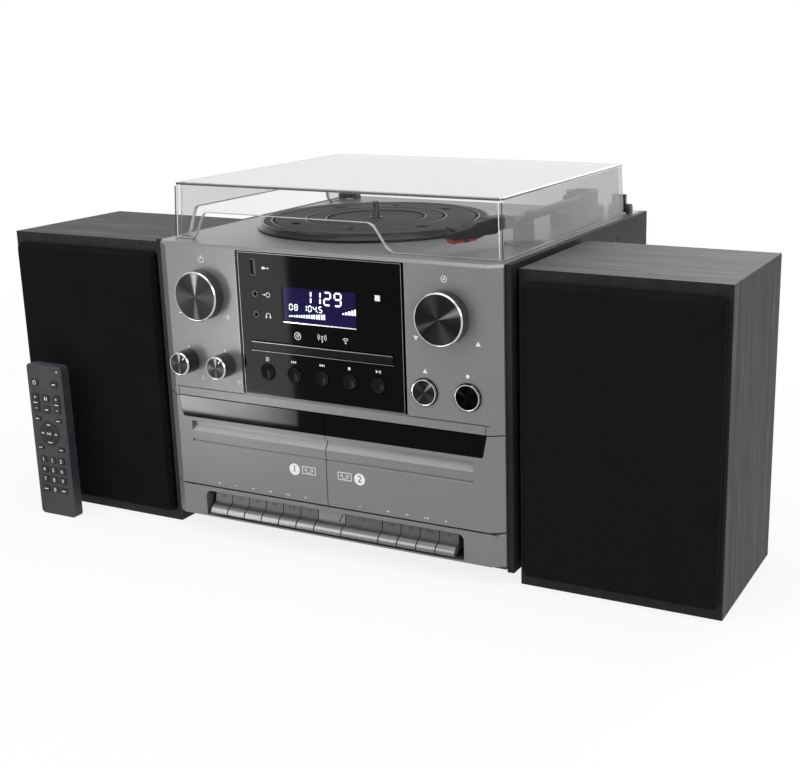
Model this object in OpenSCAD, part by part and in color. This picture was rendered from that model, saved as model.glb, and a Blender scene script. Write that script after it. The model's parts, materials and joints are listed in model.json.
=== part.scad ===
// Stereo music centre: turntable, radio, disc player and twin cassette deck, two speakers and a remote.
// Millimetres. X right, Y to the back, Z up. The origin is on the floor, under the middle of the whole outline.

/* [Main unit] */
// Width across the front moulding
front_w = 340; // [330:1:360]
// Height of the deck's top face above the floor
deck_z = 274; // [272:1:290]
// Depth from the front face to the back of the cabinet
unit_d = 332; // [326:1:360]
// Wall thickness of the plastic mouldings
wall = 3; // [2.4:0.1:3.4]
// Thickness of each wooden side panel
side_t = 6; // [5:0.5:8]
// Width of the slanted facet at each front corner
facet_w = 11; // [6:0.5:13]
// Depth of the slanted facet at each front corner
facet_d = 7; // [4:0.5:9]
// Gap between neighbouring front mouldings
seam = 1; // [0.8:0.1:1.2]
// Height of the bottom of the chassis above the floor
foot_h = 15; // [10:1:18]
// Radius of a rubber foot
foot_r = 14; // [8:1:18]

/* [Front controls] */
// Height of the bottom of the upper front moulding
upper_z = 133.6; // [133.6:0.1:135]
// Width of the gloss centre panel
panel_w = 162; // [156:1:164]
// Bottom of the centre panel
panel_z0 = 142.8; // [142:0.2:145]
// Top of the centre panel
panel_z1 = 270; // [268:0.5:270]
// Dark gap on both sides of the centre panel
panel_gap = 2.6; // [1:0.2:3]
// Distance of both control columns from the middle
column_x = 120.5; // [116:0.5:122]
// Height of the two large knobs
big_knob_z = 229; // [220:1:236]
// Radius of the two large knobs
big_knob_r = 22.2; // [18:0.2:24]
// Depth of the two large knobs
big_knob_p = 12; // [8:0.5:16]
// Half the distance between the two tone knobs, and between the two round keys
pair_x = 20; // [16:0.5:22]
// Height of the two tone knobs
tone_z = 167; // [164:0.5:172]
// Radius of a tone knob
tone_r = 10.5; // [8:0.5:13]
// Depth of a tone knob
tone_p = 16; // [10:0.5:18]
// Height of the eject and record keys
round_key_z = 164; // [160:0.5:170]
// Radius of the eject and record keys
round_key_r = 11.6; // [8:0.2:13]
// Radius of a knob's shaft
shaft_r = 3; // [2.5:0.1:3.4]
// Radial clearance of a running shaft in its bore
run_gap = 0.05; // [0.03:0.01:0.09]
// Radial gap round a push button
button_gap = 0.6; // [0.4:0.1:0.8]
// Height of the row of five buttons
row_z = 164.8; // [162:0.2:168]
// Distance between neighbouring buttons of the row
row_pitch = 27.9; // [22:0.1:29]
// Radius of a button of the row
row_r = 6.9; // [5:0.1:8]
// Width of the display window
window_w = 73; // [60:1:80]
// Height of the display window
window_h = 31; // [26:0.5:34]
// Height of the middle of the display window
window_z = 226.6; // [224:0.2:230]
// Distance of the socket column from the middle
socket_x = 64.3; // [62:0.1:66]
// Radius of the hole in a headphone type socket
jack_r = 1.8; // [1.6:0.05:2]

/* [Disc player] */
// Width of the tray's front bar
tray_w = 142; // [140:1:146]
// Height of the tray's front bar
tray_h = 7.2; // [6.4:0.1:8]
// Height of the middle of the tray's front bar
tray_z = 188; // [186:0.2:190]
// Length of the tray behind its front bar
tray_d = 146; // [142:1:152]
// How far the tray slides out
tray_travel = 128; // [120:1:130]
// Radius of the disc's recess
disc_r = 60.5; // [60:0.1:61]

/* [Cassette decks] */
// Bottom of the cassette doors
door_z0 = 48.6; // [48:0.1:49.5]
// Top of the cassette doors
door_z1 = 132.6; // [132:0.1:132.6]
// Height of the gloss strip along a door's top
strip_h = 19.4; // [16:0.2:21]
// Height of the hinge of the doors
door_hinge_z = 53; // [52.6:0.1:53.5]
// Depth of the hinge of the doors behind the front face
door_hinge_y = 6; // [5.6:0.1:6.4]
// Radius of the doors' hinge rods
rod_r = 2; // [1.8:0.1:2.2]
// Inside width of a cassette holder
pocket_w = 104; // [102:0.5:108]
// Inside depth of a cassette holder
pocket_d = 13; // [12.5:0.1:13.5]
// Depth of the front of a cassette holder
pocket_y = 8.6; // [8.4:0.1:9]
// Width of one key
key_w = 18.8; // [17:0.1:19]
// Gap between neighbouring keys
key_gap = 0.8; // [0.4:0.1:1.2]
// Depth of the keys' shaft behind the front face
key_axis_y = 48; // [44:0.5:52]
// Height of the keys' shaft
key_axis_z = 31; // [30:0.5:33]

/* [Turntable] */
// Place of the spindle across the deck
spindle_x = -34; // [-36:0.5:-33]
// Place of the spindle behind the front face
spindle_y = 156.5; // [154:0.5:160]
// Radius of the spindle
spindle_r = 3.6; // [3.5:0.01:3.62]
// Height of the spindle above the mat
spindle_h = 15; // [10:0.5:18]
// Radius of the platter's rim at its foot
platter_r = 111; // [108:0.5:112]
// Height of the platter's rim above the deck
platter_h = 6.9; // [6.6:0.1:8]
// Radius of the belt's ring under the platter
belt_ring_r = 80; // [76:1:82]
// Radius of the motor's pulley
pulley_r = 5.5; // [5:0.1:6]
// Distance of the motor's shaft from the spindle
motor_dist = 97; // [96:0.5:98]
// Distance of the arm's pivot from the lid's side
arm_side = 21.5; // [21:0.5:22.5]
// Place of the arm's pivot behind the front face
arm_y = 240; // [236:1:244]
// Length of the arm from its pivot to the headshell
arm_l = 146; // [140:1:150]
// Angle of the headshell to the arm
head_angle = 27; // [22:1:29]
// Radius of the arm's pivot post
pivot_r = 4; // [3:0.1:5]

/* [Lid] */
// Distance of the lid's sides from the sides of the deck
lid_inset = 5.5; // [4:0.5:10]
// Place of the lid's front wall
lid_y0 = 20; // [16:1:24]
// Distance of the lid's back wall from the back of the cabinet
lid_back = 31; // [30:0.5:34]
// Height of the lid
lid_h = 50; // [46:1:56]
// Wall thickness of the lid
lid_t = 2.8; // [2:0.1:3.2]
// Height of the hinge axis above the deck
hinge_up = 5.4; // [5.2:0.1:6]
// Radius of a lid hinge pin
hinge_pin_r = 2; // [1.6:0.1:2.4]

/* [Speakers and remote] */
// Width of a speaker
speaker_w = 174; // [160:1:180]
// Height of a speaker
speaker_h = 270; // [240:1:290]
// Depth of a speaker
speaker_d = 145; // [130:1:200]
// Board thickness of a speaker
board_t = 10; // [8:0.5:12]
// Place of a speaker's front behind the unit's front face
speaker_y = 17; // [0:1:40]
// Gap between the unit and each speaker
speaker_gap = 3; // [1:0.5:20]
// Width of the remote
remote_w = 43; // [40:1:48]
// Length of the remote
remote_l = 151; // [145:1:160]
// Thickness of the remote
remote_t = 9.5; // [9:0.5:14]
// Place of the remote's left edge
remote_x = -320; // [-330:1:-300]
// Place of the remote's front
remote_y = -21; // [-60:1:-14]

/* [Hidden] */
$fn = 64;

// Clearances
seat = 0.3;       // between a moving piece and what it rests on
fit = 0.2;        // between two fixed pieces that fit into each other
eps = 1;          // how far a cut runs past the face it opens

// Main unit
hw = front_w / 2;
cab_hw = hw + side_t;
deck_t = 3;
lip = 2.4;
foot_inset = 80;
deck_under = deck_z - deck_t;
front_d = 20;
chassis_t = 3;
chassis_top = foot_h + chassis_t;
base_z0 = chassis_top;
base_z1 = door_z0 - 1.4;
side_z0 = foot_h - 3;
rear_t = 2.5;
panel_hw = panel_w / 2;
opening_hw = panel_hw + panel_gap;
flange_y = wall + 2;
board_y = 14;
board_thick = 1.6;
switch_h = 0.8;
press_travel = 1.5;
stem_end = board_y - switch_h - press_travel - seat;
groove = 0.8;

// Rows of controls
button_rows = [-2, -1, 0, 1, 2];
usb_x = socket_x + 1.6;
usb_z = 257.3;
jack_z = [234, 215.7];
jack_ring_r = 3.1;

// Cassette decks
door_x0 = 0.4;
pocket_x = 85;
pocket_z0 = door_hinge_z + 6.5;
pocket_z1 = door_hinge_z + 75;
holder_t = 3;
strip_z = door_z1 - strip_h;
strip_top_x = hw - 13;
strip_bot_x = hw - 17;
strip_round = 3;
grip_x = hw - 26;
grip_z1 = strip_z - 3.6;
grip_h = 9.5;
grip_d = 4.4;
step_z = grip_z1 - grip_h - 7.5;
frame_y = pocket_y + pocket_d + 2.6;
frame_x = hw - 20;
frame_t = 3;
ear_r = rod_r + 0.8;
hub_x = 21.25;
hub_z = pocket_z0 + 32;
key_units = 13.5;
keys_x0 = -key_units / 2 * key_w;
recess_hw = key_units / 2 * key_w + 7;
recess_z0 = base_z0 + 1.6;
recess_z1 = 43.3;
key_front = [
    [10, 43], [6, 43], [4.5, 33], [4.8, 32.5], [4.2, 31.9], [0.6, 30.3], [-2.6, 27.8], [-4.1, 25], [-4.2, 23.8],
    [-3.4, 23], [-2.4, 22.8], [0, 24], [12, 26]
];

// Turntable
lid_hw = hw - lid_inset;
lid_y1 = unit_d - lid_back;
well_r = 106.5;
well_d = 9;
well_t = 2.5;
mat_z = deck_z + platter_h + 0.3;
mat_t = 1.3;
web_z = mat_z - mat_t;
web_t = 2.5;
bearing_r = spindle_r + 0.6;
spindle_boss_r = spindle_r + 2.4;
motor_angle = 135;
motor_x = spindle_x + motor_dist * cos(motor_angle);
motor_y = spindle_y + motor_dist * sin(motor_angle);
belt_z0 = deck_z - 4.5;
belt_z1 = deck_z - 0.5;
belt_t = 1;
arm_x = lid_hw - arm_side;
arm_z = deck_z + 22;
arm_r = 4.2;
arm_base_h = 14.7;
housing_r = 15;
head_y = arm_y - arm_l;
rest_y = arm_y - 134;
head_l = 70;
stylus_z = deck_z + 9.2;
cue_x = arm_x + 11;
cue_y = arm_y - 28;
cue_z = deck_z + 12;

// Lid
lid_z0 = deck_z + 0.4;
lid_z1 = deck_z + lid_h;
lid_draft = 2;
lid_edge = 2.5;
hinge_y = lid_y1 + 6;
hinge_z = deck_z + hinge_up;
hinge_r = 4.6;
hinge_x = lid_hw - 7.5;
hinge_w = 14;
ear_t = 4;

// Speakers and remote
remote_key_out = 0.9;
socket_out = 6;
speaker_x = cab_hw + speaker_gap;
grille_side = 4;
grille_end = 10;
baffle_y = speaker_y + 12;

// ---------- helpers ----------
// Everything stands with the middle of its outline over the origin
module placed() {
    translate([0, -(remote_y - remote_key_out + unit_d + socket_out) / 2, 0]) children();
}

module rounded(w, h, r) {
    square([w - 2 * r, h], center = true);
    square([w, h - 2 * r], center = true);
    for (x = [-1, 1], y = [-1, 1]) translate([x * (w / 2 - r), y * (h / 2 - r)]) circle(r);
}

module box(x0, x1, y0, y1, z0, z1) {
    translate([x0, y0, z0]) cube([x1 - x0, y1 - y0, z1 - z0]);
}

// An outline drawn as seen from the front, from depth y0 back to y1
module from_front(y0, y1) {
    translate([0, y1, 0]) rotate([90, 0, 0]) linear_extrude(y1 - y0) children();
}

// An outline drawn in depth and height, from x0 to x1
module from_side(x0, x1) {
    translate([x0, 0, 0]) rotate([90, 0, 90]) linear_extrude(x1 - x0) children();
}

module rod_y(x, z, y0, y1, r) {
    translate([x, y0, z]) rotate([-90, 0, 0]) cylinder(r = r, h = y1 - y0);
}

module rod_x(y, z, x0, x1, r) {
    translate([x0, y, z]) rotate([0, 90, 0]) cylinder(r = r, h = x1 - x0);
}

module rod_z(x, y, z0, z1, r) {
    translate([x, y, z0]) cylinder(r = r, h = z1 - z0);
}

module both_sides() {
    children();
    mirror([1, 0, 0]) children();
}

// The outline of the front seen from above, inset by t, back to depth d
module front_plan(t, d) {
    x = hw - t;
    bend = hw - facet_w - t * facet_d / (facet_w + facet_d);
    polygon([[-x, d], [-x, facet_d + t / 2], [-bend, t], [bend, t], [x, facet_d + t / 2], [x, d]]);
}

module front_shell(z0, z1) {
    difference() {
        translate([0, 0, z0]) linear_extrude(z1 - z0) front_plan(0, front_d);
        translate([0, 0, z0 - eps]) linear_extrude(z1 - z0 + 2 * eps) front_plan(wall, front_d + eps);
    }
}

// ---------- cabinet ----------
module base_chassis() color("dimgray") difference() {
    union() {
        box(-hw, hw, wall + 4, unit_d - rear_t, foot_h, chassis_top);
        for (x = [-50, 110], y = [190, 300]) rod_z(x, y, chassis_top, chassis_top + 12, 4);
        for (x = [-146, -94]) box(x - 5, x + 5, 215, 265, chassis_top, chassis_top + 4);
    }
    for (x = [-6 : 6]) box(x * 16 - 3, x * 16 + 3, 90, 150, foot_h - eps, chassis_top + eps);
}

module rubber_feet() color("black") {
    for (x = [-1, 1], y = [foot_inset, unit_d - foot_inset / 2]) translate([x * (hw - 28), y, 0]) {
        cylinder(r = foot_r, h = 4);
        translate([0, 0, 4]) cylinder(r = foot_r - 1.5, h = foot_h - 4);
    }
}

module side_panels() color("dimgray") both_sides() difference() {
    box(hw, cab_hw, facet_d + 2, unit_d, side_z0, deck_z);
    rod_x(246, 257, cab_hw - 1.5, cab_hw + eps, 3.2);
    rod_x(60, 40, cab_hw - 1.5, cab_hw + eps, 3.2);
    rod_x(unit_d - 30, 40, cab_hw - 1.5, cab_hw + eps, 3.2);
}

module rear_panel() color("darkslategray") difference() {
    box(-hw, hw, unit_d - rear_t, unit_d, foot_h, deck_under);
    from_front(unit_d - rear_t - eps, unit_d + eps) rear_holes();
    for (x = [0 : 13], z = [0 : 2])
        box(40 + x * 8, 44 + x * 8, unit_d - rear_t - eps, unit_d + eps, 60 + z * 26, 80 + z * 26);
}

// Holes for the inlet, the line sockets, the aerial socket and the speaker terminals
module rear_holes() {
    translate([-120, 60]) rounded(24 + 2 * fit, 16 + 2 * fit, 4);
    for (x = [-40, -20]) translate([x, 60]) circle(6 + fit);
    translate([10, 60]) circle(6 + fit);
    translate([-30, 120]) rounded(60 + 2 * fit, 30 + 2 * fit, 2);
}

module top_deck() color("gray") difference() {
    union() {
        translate([0, front_d, deck_under]) linear_extrude(deck_t)
            translate([-hw, 0]) square([2 * hw, unit_d - front_d]);
        hull() {
            translate([0, 0, deck_under]) linear_extrude(deck_t - lip) lip_plan(0);
            translate([0, 0, deck_under]) linear_extrude(deck_t) lip_plan(lip);
        }
        rod_z(spindle_x, spindle_y, deck_z - well_d - well_t, deck_z - eps, well_r + well_t);
        rod_z(spindle_x, spindle_y, deck_z - 28, deck_z - well_d, 9);
    }
    difference() {
        rod_z(spindle_x, spindle_y, deck_z - well_d, deck_z + eps, well_r);
        rod_z(spindle_x, spindle_y, deck_z - well_d - eps, deck_z - 7.5, 9);
    }
    rod_z(spindle_x, spindle_y, deck_z - 30, deck_z, bearing_r + run_gap);
    rod_z(motor_x, motor_y, deck_z - well_d - well_t - eps, deck_z, 4);
    rod_z(arm_x, arm_y, deck_under - eps, deck_z + eps, pivot_r + 3);
}

// The deck's front end seen from above, with its front edges set back by t
module lip_plan(t) {
    bend = hw - facet_w;
    polygon([[-hw, front_d], [-hw, facet_d + t], [-bend, t], [bend, t], [hw, facet_d + t], [hw, front_d]]);
}

// ---------- front ----------
module front_fascia() color("gray") difference() {
    front_shell(upper_z, deck_under);
    box(-opening_hw, opening_hw, -eps, wall + eps, panel_z0 - 0.6, deck_z);
    for (x = [-column_x, column_x]) rod_y(x, big_knob_z, -eps, wall + eps, shaft_r + run_gap);
    for (x = [-pair_x, pair_x]) {
        rod_y(x - column_x, tone_z, -eps, wall + eps, shaft_r + run_gap);
        rod_y(x + column_x, round_key_z, -eps, wall + eps, round_key_r + button_gap);
    }
    both_sides() {
        box(opening_hw, hw + eps, -eps, groove, panel_z0 - 1.8, panel_z0 - 1.8 + seam);
        box(hw - 14.4, hw - 13.6, -eps, groove, upper_z - eps, panel_z0 - 1.4);
    }
}

module centre_panel() color("black") difference() {
    union() {
        box(-panel_hw, panel_hw, 0.3, wall, panel_z0, panel_z1);
        box(-opening_hw - 2, opening_hw + 2, wall, flange_y, panel_z0 - 6, deck_under - fit);
        for (x = [-78, 78], z = [151, 176]) rod_y(x, z, flange_y, board_y, 2.5);
    }
    from_front(-eps, flange_y + eps) translate([0, window_z])
        square([window_w + 2 * fit, window_h + 2 * fit], center = true);
    box(-tray_w / 2 - 1, tray_w / 2 + 1, -eps, flange_y + eps, tray_z - tray_h / 2 - 1, tray_z + tray_h / 2 + 1);
    for (i = button_rows) rod_y(i * row_pitch, row_z, -eps, flange_y + eps, row_r + button_gap);
    for (z = jack_z) rod_y(-socket_x, z, -eps, flange_y + eps, jack_ring_r + fit);
    from_front(-eps, flange_y + eps) translate([-usb_x, usb_z]) square([6.2 + 2 * fit, 14.8 + 2 * fit], center = true);
}

module display_module() color("midnightblue") {
    from_front(0.9, flange_y) translate([0, window_z]) square([window_w, window_h], center = true);
    from_front(flange_y, flange_y + 7) translate([0, window_z]) square([window_w + 8, window_h + 6], center = true);
}

module front_sockets() color("black") {
    difference() {
        from_front(0.6, flange_y + 10) translate([-usb_x, usb_z]) square([6.2, 14.8], center = true);
        from_front(-eps, flange_y + 7) translate([-usb_x, usb_z]) square([5.2, 12.8], center = true);
    }
    box(-usb_x - 0.2, -usb_x + 1.6, 1.6, flange_y + 8, usb_z - 5.6, usb_z + 5.6);
    for (z = jack_z) difference() {
        union() {
            rod_y(-socket_x, z, -0.2, flange_y, jack_ring_r);
            box(-socket_x - 5, -socket_x + 5, flange_y, flange_y + 11, z - 5, z + 5);
        }
        rod_y(-socket_x, z, -eps, flange_y + 9, jack_r);
    }
}

// A push button: its cap, the flange that keeps it behind the panel and its stem
module push_button(x, z, r, proud, flange, reach) color("black") {
    difference() {
        rod_y(x, z, -proud, flange, r);
        rod_y(x, z, -proud - eps, -proud + 0.4, r - 1);
    }
    rod_y(x, z, flange + seat, flange + seat + 1.4, r + 1.6);
    rod_y(x, z, -proud + 1, reach, 2.5);
}

module row_button(i) {
    push_button(i * row_pitch, row_z, row_r, 0.5, flange_y, stem_end);
}

module round_button(side) {
    push_button(column_x + side * pair_x, round_key_z, round_key_r, 2.4, wall, stem_end);
}

// A knob: a hollow skirt with a turned-down rim, a face disc and the shaft it turns on
module knob(x, z, r, p) color("black") {
    translate([x, 0, z]) rotate([90, 0, 0]) rotate_extrude() polygon([
        [0, p - 3], [r - 3, p - 3], [r - 2, 1], [r, 1], [r, p - 1.2], [r - 1.2, p], [r - 1.8, p - 0.4],
        [0, p - 0.4]
    ]);
    rod_y(x, z, -p + 2, board_y - 3, shaft_r);
}

module base_fascia() color("gray") {
    difference() {
        front_shell(base_z0, base_z1);
        from_side(-hw - eps, hw + eps) polygon([
            [0.6, base_z1], [wall + 0.2, base_z1 - 2.6], [wall + 0.2, base_z1 - 1.4], [wall + 2.4, base_z1 - 0.1],
            [wall + 2.4, base_z1 + eps], [0.6, base_z1 + eps]
        ]);
        box(-recess_hw, recess_hw, -eps, wall + eps, recess_z0, recess_z1 - 6);
        box(-recess_hw + 6, recess_hw - 6, -eps, wall + eps, recess_z1 - 6 - fit, recess_z1);
        both_sides() rod_y(recess_hw - 6, recess_z1 - 6, -eps, wall + eps, 6);
    }
    box(-recess_hw, recess_hw, wall, 24, base_z0, recess_z0);
    box(-recess_hw, recess_hw, wall, 24, recess_z1 + 0.3, recess_z1 + 1.8);
    both_sides() box(recess_hw, recess_hw + 1.5, wall, 24, base_z0, recess_z1 + 1.8);
    key_filler();
}

// The fixed cover between the two groups of keys, with the slanted notch near its right end
module key_filler() {
    x0 = keys_x0 + 6 * key_w + key_gap / 2;
    x1 = keys_x0 + 7.5 * key_w - key_gap / 2;
    difference() {
        from_side(x0, x1) polygon(concat(key_front, [[16, 26], [16, recess_z1 + 1]]));
        translate([x1 - 5, 0, 34.4]) rotate([0, 28, 0]) box(-0.5, 0.5, 0, 6.4, -1.5, 8);
    }
}

// A piano key on its shaft, from unit a to unit b of the row
module piano_key(a, b) color("silver") difference() {
    from_side(keys_x0 + a * key_w + key_gap / 2, keys_x0 + b * key_w - key_gap / 2) polygon(concat(key_front, [
        [16, 27.5], [key_axis_y + 5, key_axis_z - 4], [key_axis_y + 5, key_axis_z + 4], [14, key_axis_z + 5]
    ]));
    rod_x(key_axis_y, key_axis_z, -hw, hw, rod_r + run_gap);
}

// ---------- disc player ----------
module cd_tray() color("dimgray") {
    bar_y = wall - 0.2;
    box(-tray_w / 2, tray_w / 2, -0.4, bar_y, tray_z - tray_h / 2, tray_z + tray_h / 2);
    difference() {
        box(-66, 66, bar_y, bar_y + tray_d, tray_z - tray_h / 2 + fit, tray_z + 1.6);
        rod_z(0, bar_y + 66, tray_z - 0.4, tray_z + 5, disc_r);
        rod_z(0, bar_y + 66, tray_z - 1.4, tray_z + 5, 41);
        rod_z(0, bar_y + 66, tray_z - 10, tray_z + 5, 18);
        box(-18, 18, bar_y + 66, bar_y + tray_d - 10, tray_z - 10, tray_z + 5);
    }
}

module cd_mechanism() color("darkgray") {
    tray_low = tray_z - tray_h / 2 + fit;
    tray_top = tray_z + 1.6;
    y0 = flange_y + 4;
    y1 = y0 + 146;
    difference() {
        box(-74, 74, y0, y1, tray_low - 8, tray_low - 6);
        for (x = [-1, 1]) box(x * 36 - 12, x * 36 + 12, y0 + 20, y1 - 20, tray_low - 9, tray_low - 5);
    }
    both_sides() {
        box(66 + seat, 70, y0, y1, tray_low - 6, tray_top + 4);
        box(58, 66 + seat, y0, y1, tray_low - 6, tray_low - seat);
        box(62, 66 + seat, y0, y0 + 60, tray_top + seat, tray_top + 2);
        box(74, 77, y0 + 58, y1 - 10, chassis_top, tray_low - 6);
    }
    box(-70, 70, y0 + 62, y0 + 84, tray_top + 4, tray_top + 6);
    rod_z(0, y0 + 66, tray_top + 0.8, tray_top + 4, 15);
    rod_z(0, y0 + 66, tray_low - 6, tray_low - 1, 14);
}

// ---------- cassette decks ----------
// The right-hand door, hinged at its foot; the left one mirrors it
module door() color("gray") difference() {
    union() {
        translate([0, 0, door_z0]) linear_extrude(door_z1 - door_z0) door_plan();
        box(door_x0, grip_x + 2, wall, wall + grip_d, grip_z1 - grip_h - 3, grip_z1 + 2);
        for (x = [8, frame_x - 13]) box(x, x + 8, wall, door_hinge_y + 4, door_hinge_z - 4, door_hinge_z + 4.5);
        cassette_holder();
    }
    from_front(-eps, wall + fit) strip_outline(0);
    from_side(door_x0 - eps, grip_x) polygon([
        [-eps, grip_z1], [0, grip_z1], [grip_d, grip_z1 - 1.6], [grip_d - 0.6, grip_z1 - 4.5], [0, grip_z1 - grip_h],
        [-eps, grip_z1 - grip_h]
    ]);
    from_side(door_x0 - eps, grip_x) polygon([[-eps, step_z], [1.8, step_z], [1.6, step_z - 1.4], [0, step_z - 3], [-eps, step_z - 3]]);
    rod_x(door_hinge_y, door_hinge_z, 0, frame_x, rod_r + run_gap);
}

module door_plan() {
    bend = hw - facet_w;
    polygon([
        [door_x0, 0], [bend, 0], [hw, facet_d], [hw, facet_d + 3], [hw - wall, facet_d + 3],
        [hw - wall, facet_d + wall / 2], [bend - 1, wall], [door_x0, wall]
    ]);
}

// The gloss strip along the top, with its slanted end and rounded lower corner
module strip_outline(inset) {
    difference() {
        polygon([
            [door_x0 - (inset > 0 ? 0 : eps), strip_z + inset], [strip_bot_x - inset, strip_z + inset],
            [strip_top_x - inset, door_z1 + (inset > 0 ? 0 : eps)], [door_x0 - (inset > 0 ? 0 : eps), door_z1 + (inset > 0 ? 0 : eps)]
        ]);
        difference() {
            translate([strip_bot_x - strip_round, strip_z - eps]) square([strip_round * 2, strip_round + eps]);
            translate([strip_bot_x - strip_round + 0.8, strip_z + strip_round]) circle(strip_round - inset);
        }
    }
}

module cassette_holder() {
    x0 = pocket_x - pocket_w / 2;
    x1 = pocket_x + pocket_w / 2;
    back = pocket_y + pocket_d;
    for (x = [x0 - holder_t, x1]) box(x, x + holder_t, wall, back + 1.5, pocket_z0 - holder_t, pocket_z1);
    box(x0 - holder_t, x1 + holder_t, wall, back + 1.5, pocket_z0 - holder_t, pocket_z0);
    for (x = [x0, x1 - 5]) box(x, x + 5, back, back + 1.5, pocket_z0, pocket_z1);
    for (x = [x0, x1 - 5]) box(x, x + 5, wall, pocket_y, pocket_z0, strip_z - 1);
}

module window() color("black") from_front(0.2, wall - 0.2) strip_outline(0.15);

module tape_transports() color("darkgray") {
    both_sides() {
        difference() {
            box(frame_t / 2, frame_x, frame_y, frame_y + 2, chassis_top + 32, pocket_z1 + 2);
            for (x = [-hub_x, hub_x]) rod_y(pocket_x + x, hub_z, frame_y - eps, frame_y + 3, 5);
        }
        for (x = [-hub_x, hub_x]) {
            rod_y(pocket_x + x, hub_z, frame_y - 8, frame_y + 8, 3.2);
            rod_y(pocket_x + x, hub_z, frame_y + 2.5, frame_y + 5, 14);
        }
        box(pocket_x - 12, pocket_x + 12, frame_y - 2.4, frame_y, hub_z - 28, hub_z - 19);
        rod_y(pocket_x + 26, hub_z - 20, frame_y + 2, frame_y + 12, 11);
        box(frame_x, frame_x + frame_t, 10, key_axis_y + 10, chassis_top, pocket_z1 + 2);
        for (x = [3, frame_x - 3]) {
            rod_x(door_hinge_y, door_hinge_z, x, x + 3, ear_r);
            box(x, x + 3, door_hinge_y, frame_y, door_hinge_z - ear_r, door_hinge_z + ear_r);
        }
        rod_x(door_hinge_y, door_hinge_z, 3, frame_x, rod_r);
    }
    box(-frame_t / 2, frame_t / 2, frame_y, key_axis_y + 10, chassis_top, pocket_z1 + 2);
    rod_x(key_axis_y, key_axis_z, -frame_x - frame_t, frame_x + frame_t, rod_r);
}

// ---------- electronics ----------
module circuit_boards() color("darkgreen") {
    box(-60, 120, 180, 310, chassis_top + 12, chassis_top + 12 + board_thick);
    for (x = [-20, 20, 60]) rod_z(x, 230, chassis_top + 12 + board_thick, chassis_top + 34, 8);
    box(-10, 70, 260, 272, chassis_top + 12 + board_thick, chassis_top + 50);
    box(-82, 82, board_y, board_y + board_thick, panel_z0 + 4, tray_z - 13);
    for (i = button_rows) box(i * row_pitch - 3, i * row_pitch + 3, board_y - switch_h, board_y, row_z - 3, row_z + 3);
    for (c = [[-column_x, big_knob_z], [column_x, big_knob_z], [-column_x - pair_x, tone_z], [-column_x + pair_x, tone_z]])
        difference() {
            union() {
                rod_y(c.x, c.y, wall, board_y - 2, 8);
                box(c.x - 9, c.x + 9, board_y - 2, board_y, c.y - 10, c.y + 9);
            }
            rod_y(c.x, c.y, wall - eps, board_y - 2.5, shaft_r + run_gap);
        }
    for (x = [-pair_x, pair_x]) {
        box(column_x + x - 3.5, column_x + x + 3.5, board_y - switch_h, board_y, round_key_z - 3.5, round_key_z + 3.5);
    }
    box(column_x - pair_x - 12, column_x + pair_x + 12, board_y, board_y + board_thick, round_key_z - 14, round_key_z + 14);
}

module power_transformer() color("slategray") {
    box(-152, -88, 222, 258, chassis_top + 4, chassis_top + 42);
    box(-140, -100, 212, 268, chassis_top + 10, chassis_top + 36);
}

module rear_sockets() color("black") {
    difference() {
        from_front(unit_d - 22, unit_d + 1) translate([-120, 60]) rounded(24, 16, 4);
        from_front(unit_d - 14, unit_d + 2) translate([-120, 60]) rounded(17, 9, 4);
    }
    for (x = [-3.4, 3.4]) rod_y(-120 + x, 60, unit_d - 15, unit_d - 3, 1.2);
    for (x = [-40, -20, 10]) difference() {
        rod_y(x, 60, unit_d - 14, unit_d + socket_out, 6);
        rod_y(x, 60, unit_d - 4, unit_d + socket_out + eps, 4);
    }
    speaker_terminals(-30, 120, unit_d);
    both_sides() speaker_terminals(speaker_x + speaker_w / 2, 120, speaker_y + speaker_d);
}

// Four sprung terminals for bare wire, in a plate whose back face is at depth y
module speaker_terminals(x, z, y) {
    difference() {
        from_front(y - 12, y + 1) translate([x, z]) rounded(60, 30, 2);
        for (i = [-1.5 : 1.5]) rod_y(x + i * 14, z - 8, y - 8, y + 2, 1.6);
    }
    for (i = [-1.5 : 1.5]) box(x + i * 14 - 4, x + i * 14 + 4, y + 1, y + socket_out, z - 2, z + 9);
}

// ---------- turntable ----------
module platter() color("dimgray") translate([spindle_x, spindle_y, 0]) {
    translate([0, 0, deck_z]) rotate_extrude($fn = 128) polygon([
        [105, 1], [platter_r, 1], [platter_r, 2.2], [platter_r - 1.6, 3.6], [platter_r - 3.4, platter_h],
        [platter_r - 5, platter_h], [platter_r - 5.4, web_z - deck_z], [0, web_z - deck_z],
        [0, -7.2], [11, -7.2], [12, web_z - web_t - deck_z], [belt_ring_r - 3, web_z - web_t - deck_z],
        [belt_ring_r - 3, -6], [belt_ring_r, -6], [belt_ring_r, web_z - web_t - deck_z],
        [105, web_z - web_t - deck_z]
    ]);
    translate([0, 0, deck_z - 26]) cylinder(r = bearing_r, h = 26);
    translate([0, 0, web_z - 1]) cylinder(r = spindle_boss_r, h = mat_z - web_z + 1);
    translate([0, 0, mat_z]) cylinder(r = spindle_r, h = spindle_h - 2);
    translate([0, 0, mat_z + spindle_h - 2]) cylinder(r1 = spindle_r, r2 = spindle_r - 1.6, h = 2);
}

module platter_mat() color("black") translate([spindle_x, spindle_y, web_z]) rotate_extrude($fn = 128) polygon([
    [spindle_boss_r + fit, 0], [platter_r - 5.8, 0], [platter_r - 5.8, mat_t], [98, mat_t], [97, mat_t - 0.5],
    [96, mat_t], [66.5, mat_t], [65.7, mat_t - 0.5], [64.9, mat_t], [50, mat_t], [48, mat_t - 0.6],
    [spindle_boss_r + fit, mat_t - 0.6]
]);

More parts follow.
